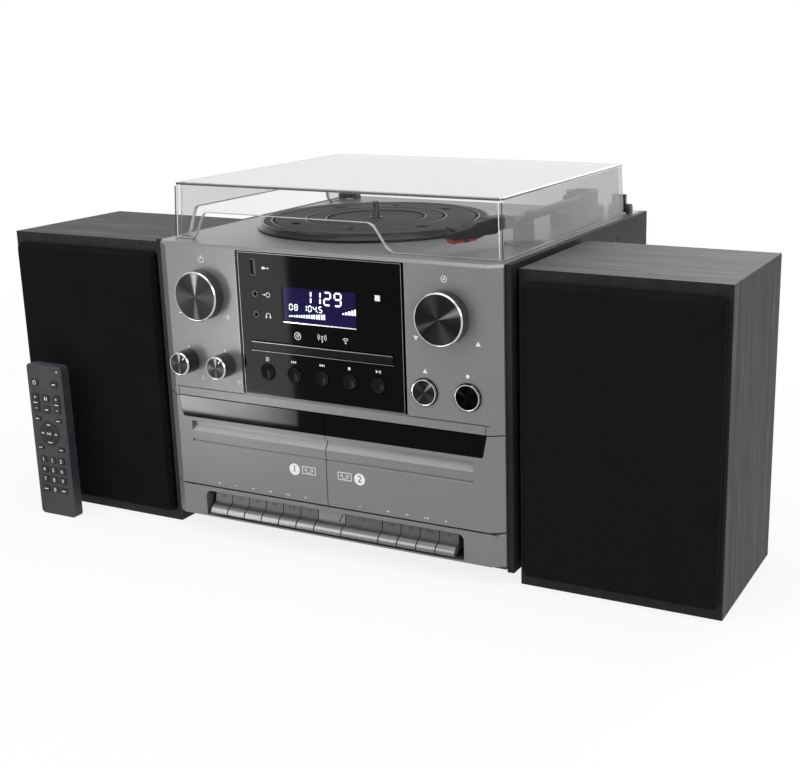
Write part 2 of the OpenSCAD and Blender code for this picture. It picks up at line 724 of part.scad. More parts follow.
module platter_motor() color("silver") difference() {
    union() {
        rod_z(motor_x, motor_y, deck_z - 36, deck_z - well_d - well_t, 13);
        rod_z(motor_x, motor_y, deck_z - well_d - well_t - 1.5, deck_z - well_d - well_t, 17);
    }
    rod_z(motor_x, motor_y, deck_z - 34, deck_z, 1 + run_gap);
}

module motor_pulley() color("goldenrod") translate([motor_x, motor_y, deck_z]) rotate_extrude() polygon([
    [0, -33], [1, -33], [1, -6.5], [pulley_r + 0.6, -6.5], [pulley_r + 0.6, -5.5], [pulley_r, -5],
    [pulley_r, 0], [pulley_r + 0.6, 0.5], [pulley_r + 0.6, 1.2], [0, 1.2]
]);

module drive_belt() color("black") translate([spindle_x, spindle_y, belt_z0]) linear_extrude(belt_z1 - belt_z0)
    difference() {
        belt_loop(seat + belt_t);
        belt_loop(seat);
    }

module belt_loop(grow) {
    hull() {
        circle(belt_ring_r + grow, $fn = 96);
        rotate(motor_angle) translate([motor_dist, 0]) circle(pulley_r + grow, $fn = 32);
    }
}

module tonearm_base() color("dimgray") {
    difference() {
        union() {
            translate([arm_x, arm_y, deck_z]) linear_extrude(arm_base_h) rounded(32, 44, 8);
            translate([arm_x, arm_y - 33, deck_z]) linear_extrude(arm_base_h) rounded(30, 26, 6);
            rod_z(arm_x, arm_y, deck_under - 12, deck_z, pivot_r + 2.8);
        }
        rod_z(arm_x, arm_y, deck_under - 11, deck_z + arm_base_h + eps, pivot_r + run_gap);
        rod_x(cue_y, cue_z, cue_x - 3.5, cue_x + 9, 5.6);
        box(cue_x - 3.5, cue_x + 9, cue_y - 40, cue_y, cue_z - 5.6, cue_z + 9);
    }
    rod_x(cue_y, cue_z, cue_x - 4, cue_x + 2.5, 1.5);
    rod_z(arm_x, rest_y, deck_z, deck_z + 1.5, 17);
    box(arm_x - 8, arm_x + 8, rest_y - 4.5, rest_y + 4.5, deck_z + 1.5, arm_z - arm_r - seat);
    difference() {
        rod_y(arm_x, arm_z, rest_y - 4.5, rest_y + 4.5, 8);
        rod_y(arm_x, arm_z, rest_y - 5.5, rest_y + 5.5, arm_r + seat);
        box(arm_x - 9, arm_x + arm_r + seat, rest_y - 5.5, rest_y + 5.5, arm_z - arm_r - seat, arm_z + 9);
    }
}

module cue_lever() color("black") difference() {
    union() {
        rod_x(cue_y, cue_z, cue_x - 3, cue_x + 3, 3.6);
        translate([cue_x - 2, cue_y, cue_z]) rotate([-12, 0, 0]) box(0, 4, -26, 0, 1, 3.5);
        translate([cue_x - 3, cue_y, cue_z]) rotate([-12, 0, 0]) box(0, 6, -32, -26, 1, 4.5);
    }
    rod_x(cue_y, cue_z, cue_x - 5, cue_x + 2.5, 1.5 + run_gap);
}

// The swivelling head of the arm, open at the front for the tube
module arm_housing() color("black") {
    low = deck_z + arm_base_h + seat;
    difference() {
        union() {
            rod_z(arm_x, arm_y, low, arm_z + 8, housing_r);
            box(arm_x - 11, arm_x + 11, arm_y - 20, arm_y, low, arm_z + 5);
        }
        box(arm_x - 6.5, arm_x + 6.5, arm_y - 24, arm_y + 7, arm_z - 6.2, arm_z + 20);
        rod_x(arm_y, arm_z, arm_x - 10, arm_x + 10, 1.5 + run_gap);
    }
    rod_z(arm_x, arm_y, deck_under - 10, low, pivot_r);
}

// The arm tube with its pivot block and pins
module tonearm() color("silver") {
    rod_y(arm_x, arm_z, head_y, arm_y - 4, arm_r);
    box(arm_x - 6.2, arm_x + 6.2, arm_y - 6, arm_y + 6, arm_z - 5, arm_z + 5);
    rod_x(arm_y, arm_z, arm_x - 9.8, arm_x + 9.8, 1.5);
    translate([arm_x, head_y, arm_z]) rotate([0, 0, -head_angle]) {
        rotate([90, 0, 0]) cylinder(r = 3.6, h = 14);
    }
    translate([arm_x, head_y, arm_z]) sphere(arm_r);
}

// The headshell with the red cartridge under its nose
module headshell() color("black") translate([arm_x, head_y, arm_z]) rotate([0, 0, -head_angle]) difference() {
    union() {
        from_side(-8, 8) polygon([
            [-10, 5], [-34, 5], [-37, 3.4], [-48, 3], [-54, 0], [-head_l, -2.5], [-head_l - 2, -5],
            [-head_l - 2, -9], [-46, -9.5], [-42, -8], [-30, -8], [-24, -5], [-10, -5]
        ]);
        from_side(-4.5, 4.5) polygon([
            [-46, -9], [-head_l - 1, -9], [-head_l, stylus_z - arm_z + 1.2], [-head_l + 1, stylus_z - arm_z],
            [-head_l + 3, stylus_z - arm_z + 1], [-49, -11.5]
        ]);
    }
    translate([0, -10 + eps, 0]) rotate([90, 0, 0]) cylinder(r = 3.6 + run_gap, h = 5);
}

// ---------- lid ----------
// The lid's outside, with rounded top edges
module lid_slab(t, z0, z1) {
    hull() {
        translate([0, 0, z0]) linear_extrude(0.01) lid_plan(t);
        translate([0, 0, z1 - lid_edge]) linear_extrude(0.01) lid_plan(t + lid_draft);
        translate([0, 0, z1 - lid_edge * 0.3]) linear_extrude(0.01) lid_plan(t + lid_draft + lid_edge * 0.3);
        translate([0, 0, z1 - 0.01]) linear_extrude(0.01) lid_plan(t + lid_draft + lid_edge);
    }
}

module lid_plan(t) {
    translate([0, (lid_y0 + lid_y1) / 2]) rounded(2 * (lid_hw - t), lid_y1 - lid_y0 - 2 * t, 6);
}

module lid() color("lightgray", 0.4) difference() {
    lid_slab(0, lid_z0, lid_z1);
    hull() {
        translate([0, 0, lid_z0 - eps]) linear_extrude(0.01) lid_plan(lid_t);
        translate([0, 0, lid_z1 - lid_t - 0.01]) linear_extrude(0.01) lid_plan(lid_t + lid_draft);
    }
    from_front(lid_y0 - 2, lid_y0 + 12) lid_cut(-144, -132, 45, 62, 6);
    from_side(-lid_hw - 2, -lid_hw + 12) lid_cut(lid_y0 + 18, lid_y0 + 30, lid_y1 - 34, lid_y1 - 22, 6);
}

// A cut-out in a wall of the lid that lets a record stand out past it
module lid_cut(a0, a1, b1, b0, r) {
    top = lid_z0 + 24;
    polygon([
        [a0, lid_z0 - eps], [a0 + 4, lid_z0 + 3], [a1 - 1, top - r], [a1 + 1, top - 2], [a1 + 4, top],
        [b1 - 6, top], [b1 - 1, top - 2.5], [b1 + 3, top - 8], [b0 - 6, lid_z0 + 4], [b0, lid_z0 - eps]
    ]);
}

module lid_hinge_arms() color("black") both_sides() difference() {
    union() {
        box(hinge_x - hinge_w / 2, hinge_x + hinge_w / 2, lid_y1 + 0.05, lid_y1 + 4.5, hinge_z, hinge_z + 14);
        rod_x(hinge_y, hinge_z, hinge_x - hinge_w / 2, hinge_x + hinge_w / 2, hinge_r);
        box(hinge_x - hinge_w / 2, hinge_x + hinge_w / 2, lid_y1 + 0.4, hinge_y, hinge_z - 1, hinge_z + 3);
    }
    rod_x(hinge_y, hinge_z, 0, hinge_x + hinge_w, hinge_pin_r + run_gap);
}

module lid_hinge_brackets() color("black") both_sides() {
    for (x = [hinge_x - hinge_w / 2 - seat - ear_t, hinge_x + hinge_w / 2 + seat]) {
        rod_x(hinge_y, hinge_z, x, x + ear_t, 4.4);
        box(x, x + ear_t, hinge_y - 4.4, hinge_y + 4.4, deck_z, hinge_z);
    }
    rod_x(hinge_y, hinge_z, hinge_x - hinge_w / 2 - seat - ear_t, hinge_x + hinge_w / 2 + seat + ear_t, hinge_pin_r);
}

// ---------- speakers ----------
module speaker_cabinets() color("dimgray") both_sides() translate([speaker_x, speaker_y, 0]) difference() {
    cube([speaker_w, speaker_d, speaker_h]);
    box(board_t, speaker_w - board_t, -eps, 12, board_t, speaker_h - board_t);
    box(board_t, speaker_w - board_t, 20, speaker_d - board_t, board_t, speaker_h - board_t);
    rod_y(speaker_w / 2, 105, 11, 21, 50);
    rod_y(speaker_w / 2, 205, 11, 21, 26);
    from_front(speaker_d - board_t - eps, speaker_d + eps) translate([speaker_w / 2, 120]) rounded(60.4, 30.4, 2.2);
}

module speaker_grilles() color("black") both_sides() translate([speaker_x + speaker_w / 2, speaker_y, 0]) {
    w = speaker_w - 2 * grille_side;
    h = speaker_h - 2 * grille_end;
    translate([0, 0, speaker_h / 2]) rotate([90, 0, 0]) {
        translate([0, 0, fit]) linear_extrude(3) rounded(w, h, 5);
        hull() {
            translate([0, 0, 3 + fit]) linear_extrude(1) rounded(w, h, 5, $fn = 32);
            translate([0, 0, 7.5]) linear_extrude(0.5) rounded(w - 7, h - 7, 3, $fn = 32);
        }
    }
    for (x = [-1, 1], z = [board_t + 14, speaker_h - board_t - 14]) rod_y(x * (w / 2 - 16), z, -fit - 1, 12, 4);
}

module speaker_drivers() color("darkslategray") both_sides() translate([speaker_x + speaker_w / 2, speaker_y, 0]) {
    translate([0, 12, 105]) rotate([90, 0, 0]) rotate_extrude() polygon([
        [0, -14], [14, -12], [46, -4], [49.5, -3], [49.5, 0], [58, 0], [58, 3], [50, 3], [45, 1], [15, -9], [0, -6]
    ]);
    rod_y(0, 105, 24, 60, 32);
    translate([0, 12, 205]) rotate([90, 0, 0]) rotate_extrude() polygon([
        [0, -6], [25.5, -6], [25.5, 0], [32, 0], [32, 2], [12, 2], [10, 0], [0, 3]
    ]);
}

// ---------- remote ----------
// Centres and half sizes of the keys, across and up from the middle of the foot
remote_keys = [
    for (x = [-13, 11]) [x, 133, 4, 3],
    for (x = [-14, 12]) [x, 113, 4, 9],
    for (z = [118, 107]) [-1, z, 4, 3.6],
    for (x = [-14, 12], z = [97, 68]) [x, z, 3.6, 2.2],
    for (x = [-12, -1, 10], z = [56, 46, 36, 26]) [x, z, 4, 3.2]
];
ring_z = 83;

module remote_housing() color("darkslategray") translate([remote_x + remote_w / 2, remote_y, 0]) difference() {
    translate([0, 0, remote_l / 2]) from_front(0, remote_t) rounded(remote_w, remote_l, 4);
    from_front(-eps, 1.4) for (k = remote_keys) translate([k[0], k[1]]) remote_key(k, fit);
    from_front(-eps, 1.4) translate([-1, ring_z]) circle(12 + fit);
}

module remote_key(k, grow) {
    rounded(2 * (k[2] + grow), 2 * (k[3] + grow), 1.5);
}

module remote_keypad() color("black") translate([remote_x + remote_w / 2, remote_y, 0]) {
    from_front(-0.8, 1.4) for (k = remote_keys) translate([k[0], k[1]]) remote_key(k, 0);
    from_front(-0.5, 1.4) translate([-1, ring_z]) difference() {
        circle(12);
        circle(5.4);
    }
    from_front(-remote_key_out, 1.4) translate([-1, ring_z]) circle(5);
}

placed() base_chassis();
placed() rubber_feet();
placed() side_panels();
placed() rear_panel();
placed() top_deck();
placed() front_fascia();
placed() centre_panel();
placed() display_module();
placed() base_fascia();
placed() circuit_boards();
placed() power_transformer();
placed() rear_sockets();
placed() front_sockets();
placed() platter_motor();
placed() drive_belt();
placed() tonearm_base();
placed() lid_hinge_brackets();
placed() cd_mechanism();
placed() tape_transports();
placed() speaker_cabinets();
placed() speaker_grilles();
placed() speaker_drivers();
placed() remote_housing();
placed() remote_keypad();
placed() lid();
placed() lid_hinge_arms();
placed() platter();
placed() platter_mat();
placed() motor_pulley();
placed() arm_housing();
placed() tonearm();
placed() headshell();
placed() cue_lever();
placed() cd_tray();
placed() mirror([1, 0, 0]) door();  // door_1
placed() mirror([1, 0, 0]) window();  // window_1
placed() door();  // door_2
placed() window();  // window_2
placed() piano_key(0, 1);  // key_1_record
placed() piano_key(1, 2);  // key_1_play
placed() piano_key(2, 3);  // key_1_rewind
placed() piano_key(3, 4);  // key_1_forward
placed() piano_key(4, 5);  // key_1_stop
placed() piano_key(5, 6);  // key_1_pause
placed() piano_key(7.5, 9.5);  // key_2_play
placed() piano_key(9.5, 10.5);  // key_2_rewind
placed() piano_key(10.5, 11.5);  // key_2_forward
placed() piano_key(11.5, 12.5);  // key_2_stop
placed() piano_key(12.5, 13.5);  // key_2_pause
placed() row_button(-2);  // button_menu
placed() row_button(-1);  // button_back
placed() row_button(0);  // button_next
placed() row_button(1);  // button_stop
placed() row_button(2);  // button_play
placed() round_button(-1);  // eject_button
placed() round_button(1);  // record_button
placed() knob(-column_x, big_knob_z, big_knob_r, big_knob_p);  // volume_knob
placed() knob(-column_x - pair_x, tone_z, tone_r, tone_p);  // bass_knob
placed() knob(-column_x + pair_x, tone_z, tone_r, tone_p);  // treble_knob
placed() knob(column_x, big_knob_z, big_knob_r, big_knob_p);  // select_knob
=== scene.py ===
import json
import math

import bmesh
import bpy
from mathutils import Matrix, Vector


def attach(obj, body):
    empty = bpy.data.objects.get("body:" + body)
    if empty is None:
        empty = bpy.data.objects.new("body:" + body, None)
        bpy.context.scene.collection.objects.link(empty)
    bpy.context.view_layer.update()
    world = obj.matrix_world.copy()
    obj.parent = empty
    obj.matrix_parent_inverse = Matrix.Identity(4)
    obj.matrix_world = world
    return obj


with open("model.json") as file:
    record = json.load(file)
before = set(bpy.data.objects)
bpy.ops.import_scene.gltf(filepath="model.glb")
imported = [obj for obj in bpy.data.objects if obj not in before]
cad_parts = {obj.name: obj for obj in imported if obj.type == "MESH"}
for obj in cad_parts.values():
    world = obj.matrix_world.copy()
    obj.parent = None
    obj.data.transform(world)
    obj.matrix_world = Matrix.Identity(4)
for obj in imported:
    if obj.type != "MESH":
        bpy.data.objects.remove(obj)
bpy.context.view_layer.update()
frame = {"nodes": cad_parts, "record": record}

MM = 0.001
ROOT = "music_centre"
FRONT = -158.05  # the front face's place on Y; depths further down are measured from it
SPINDLE = (-34.0, 156.5)


def add_object(name, data):
    """A new object in the scene that shows the data."""
    ob = bpy.data.objects.new(name, data)
    bpy.context.scene.collection.objects.link(ob)
    return ob


# ---------- camera ----------
# Focal length and centre in pixels, angles in degrees, place in millimetres
CAM = dict(f=1284.92, cx=496.9, cy=377.82, yaw=25.70, pitch=15.38, roll=-0.71, at=(596.5, -893.2, 456.07))
WIDTH, HEIGHT = 800, 768  # the picture, in pixels
SENSOR = 36  # the sensor's width, in millimetres


def make_camera():
    yaw, pitch, roll = (math.radians(CAM[k]) for k in ("yaw", "pitch", "roll"))
    ahead = Vector((-math.sin(yaw) * math.cos(pitch), math.cos(yaw) * math.cos(pitch), -math.sin(pitch)))
    level = Vector((math.cos(yaw), math.sin(yaw), 0))
    above = level.cross(ahead)
    right = level * math.cos(roll) + above * math.sin(roll)
    up = above * math.cos(roll) - level * math.sin(roll)
    cam = bpy.data.cameras.new("camera")
    cam.sensor_fit = "HORIZONTAL"
    cam.sensor_width = SENSOR
    cam.lens = CAM["f"] / WIDTH * SENSOR
    cam.shift_x = (WIDTH / 2 - CAM["cx"]) / WIDTH
    cam.shift_y = (CAM["cy"] - HEIGHT / 2) / WIDTH
    cam.clip_start = 0.02
    ob = add_object("camera", cam)
    pose = Matrix((right, up, -ahead)).transposed().to_4x4()
    pose.translation = (Vector(CAM["at"]) + Vector((0, FRONT, 0))) * MM
    ob.matrix_world = pose
    bpy.context.scene.camera = ob


make_camera()


# ---------- material helpers ----------
def add_node(tree, kind, inputs=None, **props):
    """A shader node with its properties, and its inputs as values or other nodes' outputs."""
    n = tree.nodes.new("ShaderNode" + kind)
    for k, v in props.items():
        setattr(n, k, v)
    for k, v in (inputs or {}).items():
        if isinstance(v, bpy.types.NodeSocket):
            tree.links.new(v, n.inputs[k])
        else:
            n.inputs[k].default_value = v
    return n


MATERIALS = {}  # every material by its name


class Mat:
    """A node material with a Principled surface and short helpers for its nodes."""

    def __init__(self, name, color=(0.5, 0.5, 0.5), rough=0.5, **kw):
        self.material = MATERIALS[name] = bpy.data.materials.new(name)
        self.material.use_nodes = True
        self.tree = self.material.node_tree
        self.surface = self.tree.nodes["Principled BSDF"]
        self.surface.inputs["Base Color"].default_value = (*color, 1)
        self.surface.inputs["Roughness"].default_value = rough
        for k, v in kw.items():
            self.surface.inputs[k.replace("_", " ")].default_value = v
        self.place = self.node("TexCoord").outputs["Object"]

    def node(self, kind, inputs=None, **props):
        return add_node(self.tree, kind, inputs, **props)

    def link(self, a, b):
        self.tree.links.new(a, b)

    def scaled(self, sx, sy, sz):
        return self.node("Mapping", {"Vector": self.place, "Scale": (sx, sy, sz)}).outputs["Vector"]

    def centred(self, at, scale):
        """Coordinates counted from the point at, given in millimetres, and scaled."""
        return self.node("Mapping", {
            "Vector": self.place, "Location": [-a * MM for a in at], "Scale": scale,
        }).outputs["Vector"]

    def noise(self, scale, detail=4.0, rough=0.6, dist=0.0, vec=None):
        return self.node("TexNoise", {
            "Vector": vec or self.place, "Scale": scale, "Detail": detail,
            "Roughness": rough, "Distortion": dist,
        }).outputs["Fac"]

    def ramp(self, fac, *stops):
        n = self.node("ValToRGB")
        while len(n.color_ramp.elements) < len(stops):
            n.color_ramp.elements.new(0.5)
        for el, (p, c) in zip(n.color_ramp.elements, stops):
            el.position = p
            el.color = (*c, 1) if isinstance(c, tuple) else (c, c, c, 1)
        self.link(fac, n.inputs["Fac"])
        return n.outputs["Color"]

    def spread(self, fac, low, high, start=0.0, end=1.0):
        return self.node("MapRange", {
            "Value": fac, "From Min": start, "From Max": end, "To Min": low, "To Max": high,
        }).outputs["Result"]

    def calc(self, operation, *values):
        return self.node("Math", dict(enumerate(values)), operation=operation).outputs["Value"]

    def color(self, out):
        self.link(out, self.surface.inputs["Base Color"])

    def rough(self, out):
        self.link(out, self.surface.inputs["Roughness"])

    def tint(self, a, b):
        """The base colour is the product of two colours, or of a colour and a shade."""
        n = self.node("Mix", data_type="RGBA", blend_type="MULTIPLY")
        n.inputs["Factor"].default_value = 1.0
        self.link(a, n.inputs["A"])
        self.link(b, n.inputs["B"])
        self.color(n.outputs["Result"])

    def bump(self, fac, strength, dist):
        n = self.node("Bump", {"Strength": strength, "Distance": dist, "Height": fac})
        self.link(n.outputs["Normal"], self.surface.inputs["Normal"])


def mix(a, b, t):
    return tuple(x + (y - x) * t for x, y in zip(a, b))


def moulded(name, color, rough=0.45, grain=1400, depth=0.00004, vary=0.12, **kw):
    """Moulded plastic: a fine spark-eroded grain and a faint cloudiness."""
    m = Mat(name, color, rough, **kw)
    cloud = m.noise(14, 3)
    dark, light = mix(color, (0, 0, 0), vary), mix(color, (1, 1, 1), vary * 0.25)
    m.color(m.ramp(cloud, (0.3, dark), (0.7, light)))
    m.rough(m.spread(m.noise(55, 4), rough - 0.07, rough + 0.07))
    m.bump(m.noise(grain, 2), 0.35, depth)
    return m.material


def brushed(name, color, rough=0.4, metal=0.35, along="x", vary=0.25, **kw):
    """A lacquered brushed surface: long fine streaks along one direction."""
    m = Mat(name, color, rough, Metallic=metal, **kw)
    stretch = {"x": (6, 900, 900), "y": (900, 6, 900), "z": (900, 900, 6)}[along]
    streak = m.noise(1.6, 6, 0.7, vec=m.scaled(*stretch))
    soft = m.noise(9, 2)
    a = m.ramp(streak, (0.35, mix(color, (0, 0, 0), vary)), (0.65, mix(color, (1, 1, 1), vary * 0.16)))
    b = m.ramp(soft, (0.3, (0.9, 0.9, 0.9)), (0.7, (1.0, 1.0, 1.0)))
    m.tint(a, b)
    m.rough(m.spread(streak, rough - 0.1, rough + 0.1))
    m.bump(streak, 0.12, 0.00004)
    return m.material


def satin(name, color, rough=0.36, metal=0.4, vary=0.08, **kw):
    """Satin metallic lacquer: very fine flake in an even coat, a little cloudy."""
    m = Mat(name, color, rough, Metallic=metal, **kw)
    flake = m.noise(2200, 2, 0.7)
    cloud = m.noise(7, 3)
    a = m.ramp(flake, (0.35, mix(color, (0, 0, 0), vary)), (0.65, mix(color, (1, 1, 1), vary * 0.4)))
    b = m.ramp(cloud, (0.3, (0.93, 0.93, 0.93)), (0.7, (1.0, 1.0, 1.0)))
    m.tint(a, b)
    m.rough(m.spread(flake, rough - 0.05, rough + 0.06))
    m.bump(flake, 0.1, 0.00002)
    return m.material


def glossy(name, color, rough=0.05, glow=None):
    """High-gloss black: polished, with the faintest orange peel, and a mild shine to stay deep."""
    m = Mat(name, color, rough, Specular_IOR_Level=0.05)
    n = m.noise(80, 2)
    m.color(m.ramp(n, (0.3, mix(color, (0, 0, 0), 0.2)), (0.7, color)))
    m.rough(m.spread(m.noise(35, 3), rough - 0.02, rough + 0.04))
    m.bump(n, 0.15, 0.00001)
    if glow:
        m.surface.inputs["Emission Color"].default_value = (*glow, 1)
        m.surface.inputs["Emission Strength"].default_value = 1.0
    return m.material


def paint(name, color, rough=0.4, glow=0.0):
    """Printed ink or a lit mark, with a slight unevenness."""
    m = Mat(name, color, rough)
    n = m.noise(900, 2)
    m.color(m.ramp(n, (0.2, mix(color, (0, 0, 0), 0.12)), (0.8, color)))
    m.rough(m.spread(n, rough - 0.05, rough + 0.08))
    if glow:
        m.surface.inputs["Emission Color"].default_value = (*color, 1)
        m.surface.inputs["Emission Strength"].default_value = glow
    return m.material


def black_ash(name):
    """Black ash foil: long open grain, upright on upright faces and across on the top."""
    m = Mat(name, (0.03, 0.03, 0.03), 0.5, Specular_IOR_Level=0.25)
    normal = m.node("NewGeometry").outputs["True Normal"]
    face = m.node("SeparateXYZ", {"Vector": normal})
    level = m.calc("ABSOLUTE", face.outputs["Z"])

    def grain(scale, detail, dist):
        up = m.noise(scale, detail, 0.65, dist, m.scaled(60, 60, 2.2))
        flat = m.noise(scale, detail, 0.65, dist, m.scaled(2.2, 60, 60))
        mx = m.node("Mix", data_type="FLOAT")
        m.link(level, mx.inputs["Factor"])
        m.link(up, mx.inputs["A"])
        m.link(flat, mx.inputs["B"])
        return mx.outputs["Result"]

    both = m.calc("MULTIPLY", grain(2.2, 5, 0.4), grain(9, 6, 0.1))
    wood = m.ramp(both, (0.14, (0.008, 0.008, 0.009)), (0.26, (0.028, 0.027, 0.028)),
                  (0.40, (0.085, 0.082, 0.082)))
    # Faces that look to the front, the baffle's, are made much darker than the others.
    m.tint(wood, m.spread(face.outputs["Y"], 0.12, 0.79, -0.95, -0.6))
    m.rough(m.spread(both, 0.62, 0.42))
    m.bump(both, 0.5, 0.00025)
    return m.material


def cloth(name, color):
    """Knitted grille cloth: a fine diagonal weave over a soft cloudiness."""
    m = Mat(name, color, 0.95, Specular_IOR_Level=0.02)
    waves = [
        m.node("TexWave", {"Vector": m.place, "Scale": 420, "Distortion": 0.6, "Detail": 1},
               wave_type="BANDS", bands_direction=d).outputs["Fac"] for d in ("DIAGONAL", "X")
    ]
    weave = m.calc("MULTIPLY", *waves)
    cloud = m.noise(12, 4)
    a = m.ramp(weave, (0.1, mix(color, (0, 0, 0), 0.6)), (0.7, mix(color, (1, 1, 1), 0.03)))
    b = m.ramp(cloud, (0.3, 0.75), (0.7, 1.0))
    m.tint(a, b)
    m.bump(weave, 0.6, 0.0003)
    return m.material


def acrylic(name, pale, dark):
    """Acrylic sheet: clear and faintly smoked seen straight on; at a grazing look its colour turns pale, a
    painted reflection.
    """
    m = Mat(name, pale, 0.04, IOR=1.49)
    facing = m.node("LayerWeight", {"Blend": 0.5}).outputs["Facing"]
    alpha = m.ramp(facing, (0.13, 0.05), (0.48, 0.20), (0.60, 0.44), (0.74, 0.86), (1.0, 0.95))
    m.link(alpha, m.surface.inputs["Alpha"])
    m.color(m.ramp(facing, (0.2, dark), (0.62, mix(dark, pale, 0.6)), (0.85, pale)))
    m.rough(m.spread(m.noise(14, 2), 0.07, 0.09))
    m.bump(m.noise(30, 3), 0.03, 0.0001)
    return m.material


def ridged(name, color, centre, rough=0.6, pitch=1.05):
    """The mat's fine concentric grooves."""
    m = Mat(name, color, rough, Specular_IOR_Level=0.12)
    flat = m.centred((centre[0], centre[1] + FRONT, 0), (1, 1, 0))
    radius = m.node("VectorMath", {0: flat}, operation="LENGTH").outputs["Value"]
    wave = m.calc("SINE", m.calc("MULTIPLY", radius, 2 * math.pi / (pitch * MM)))
    up = m.spread(wave, 0.0, 1.0, -1)
    m.color(m.ramp(up, (0.0, mix(color, (0, 0, 0), 0.55)), (1.0, mix(color, (1, 1, 1), 0.05))))
    m.rough(m.spread(m.noise(60, 3), rough - 0.1, rough + 0.1))
    m.bump(up, 0.5, 0.0003)
    return m.material


# ---------- materials ----------
GREY = (0.187, 0.187, 0.192)
satin("fascia_grey", GREY)
satin("door_grey", GREY)
satin("deck_grey", (0.20, 0.20, 0.207), 0.32)
moulded("cabinet_grey", (0.009, 0.009, 0.0097), 0.45, vary=0.04, Specular_IOR_Level=0.12)
moulded("chassis_steel", (0.02, 0.02, 0.021), 0.5, grain=700)
glossy("gloss_black", (0.0015, 0.0015, 0.002))
glossy("display_glass", (0.006, 0.005, 0.028), glow=(0.005, 0.003, 0.030))
moulded("rubber_black", (0.02, 0.02, 0.02), 0.8, grain=900)
moulded("board_green", (0.02, 0.12, 0.05), 0.45)
brushed("transformer_steel", (0.2, 0.18, 0.16), 0.5, 0.8, "z")
moulded("socket_black", (0.012, 0.012, 0.012), 0.38)
brushed("motor_steel", (0.5, 0.5, 0.52), 0.3, 1.0, "z")
moulded("belt_rubber", (0.012, 0.012, 0.012), 0.75)
moulded("arm_base_black", (0.012, 0.012, 0.013), 0.42, Specular_IOR_Level=0.3)
moulded("hinge_black", (0.012, 0.012, 0.013), 0.4)
moulded("mechanism_grey", (0.05, 0.05, 0.052), 0.5)
brushed("transport_steel", (0.35, 0.35, 0.36), 0.4, 0.9, "x")
black_ash("speaker_ash")
cloth("grille_cloth", (0.0035, 0.0035, 0.004))
moulded("driver_paper", (0.02, 0.02, 0.02), 0.8, grain=500, depth=0.0002)
moulded("remote_plastic", (0.018, 0.019, 0.025), 0.42, Specular_IOR_Level=0.3)
moulded("keypad_rubber", (0.006, 0.006, 0.0075), 0.6, Specular_IOR_Level=0.2)
acrylic("lid_acrylic", (0.52, 0.52, 0.525), (0.14, 0.14, 0.155))
brushed("platter_plastic", (0.012, 0.012, 0.0125), 0.35, 0.1, "x", Specular_IOR_Level=0.2)
ridged("mat_rubber", (0.011, 0.011, 0.0115), SPINDLE)
brushed("pulley_brass", (0.6, 0.42, 0.16), 0.3, 1.0, "z")
brushed("arm_metal", (0.10, 0.10, 0.105), 0.3, 0.7, "y")
moulded("headshell_black", (0.008, 0.008, 0.009), 0.25, Specular_IOR_Level=0.25)
moulded("cue_black", (0.012, 0.012, 0.013), 0.4)
glossy("tray_black", (0.010, 0.010, 0.011), 0.12)
glossy("window_black", (0.0015, 0.0015, 0.002))
satin("key_silver", (0.075, 0.075, 0.077), 0.36, 0.25)
glossy("button_grey", (0.008, 0.008, 0.009), 0.16)
moulded("knob_black", (0.012, 0.012, 0.013), 0.3)
SLOT = {s["node"]: s["material_slot"] for s in frame["record"]["subparts"]}
for name, ob in frame["nodes"].items():
    for slot in ob.material_slots:
        slot.material = MATERIALS[SLOT[name]]

INK = paint("white_ink", (0.86, 0.86, 0.86))
DARK_INK = paint("dark_ink", (0.02, 0.02, 0.02))
LIT = paint("lit_white", (0.86, 0.87, 1.0), 0.4, 1.1)
BRIGHT = brushed("bright_edge", (0.75, 0.75, 0.76), 0.22, 1.0, "x")
RED = moulded("cartridge_red", (0.45, 0.02, 0.015), 0.35)


# ---------- mesh helpers (points in millimetres) ----------
def add_mesh(name, bm, mat, body, smooth=0):
    """A mesh object in the part's frame; with smooth, only edges over that many degrees are sharp."""
    mesh = bpy.data.meshes.new(name)
    bmesh.ops.recalc_face_normals(bm, faces=bm.faces)
    for v in bm.verts:
        v.co = (v.co + Vector((0, FRONT, 0))) * MM
    for f in bm.faces:
        f.smooth = bool(smooth)
    bm.to_mesh(mesh)
    bm.free()
    if smooth:
        mesh.set_sharp_from_angle(angle=math.radians(smooth))
    mesh.materials.append(mat)
    ob = add_object(name, mesh)
    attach(ob, body)


def prism(bm, pts, to3, t):
    """A closed plate: the outline pts, placed by to3(u, v, w), from w = 0 to w = t."""
    a = [bm.verts.new(to3(u, v, 0)) for u, v in pts]
    b = [bm.verts.new(to3(u, v, t)) for u, v in pts]
    n = len(pts)
    bm.faces.new(a)
    bm.faces.new(list(reversed(b)))
    for i in range(n):
        bm.faces.new((a[i], b[i], b[(i + 1) % n], a[(i + 1) % n]))


def front(y):
    """Places an outline on a face that looks to the front at depth y, standing out towards it."""
    return lambda u, v, w: Vector((u, y - w, v))


def sloped(p, q):
    """Places an outline on a face that runs from p to q, both (y, z), with u across and v up from p."""
    along = Vector((0, q[0] - p[0], q[1] - p[1])).normalized()
    out = Vector((1, 0, 0)).cross(along)
    base = Vector((0, p[0], p[1]))
    return lambda u, v, w: base + Vector((u, 0, 0)) + along * v + out * w


def decal(name, outlines, to3, t, mat, body):
    """Thin plates t thick on the outlines, as one mesh."""
    bm = bmesh.new()
    for o in outlines:
        prism(bm, o, to3, t)
    add_mesh(name, bm, mat, body)


def at_front(name, outlines, y, t, mat, body):
    """Marks or trim on a face that looks to the front at depth y."""
    decal(name, outlines, front(y), t, mat, body)


def on_top(z):
    """Places an outline on a face that looks up at height z, with v to the back."""
    return lambda u, v, w: Vector((u, v, z + w))


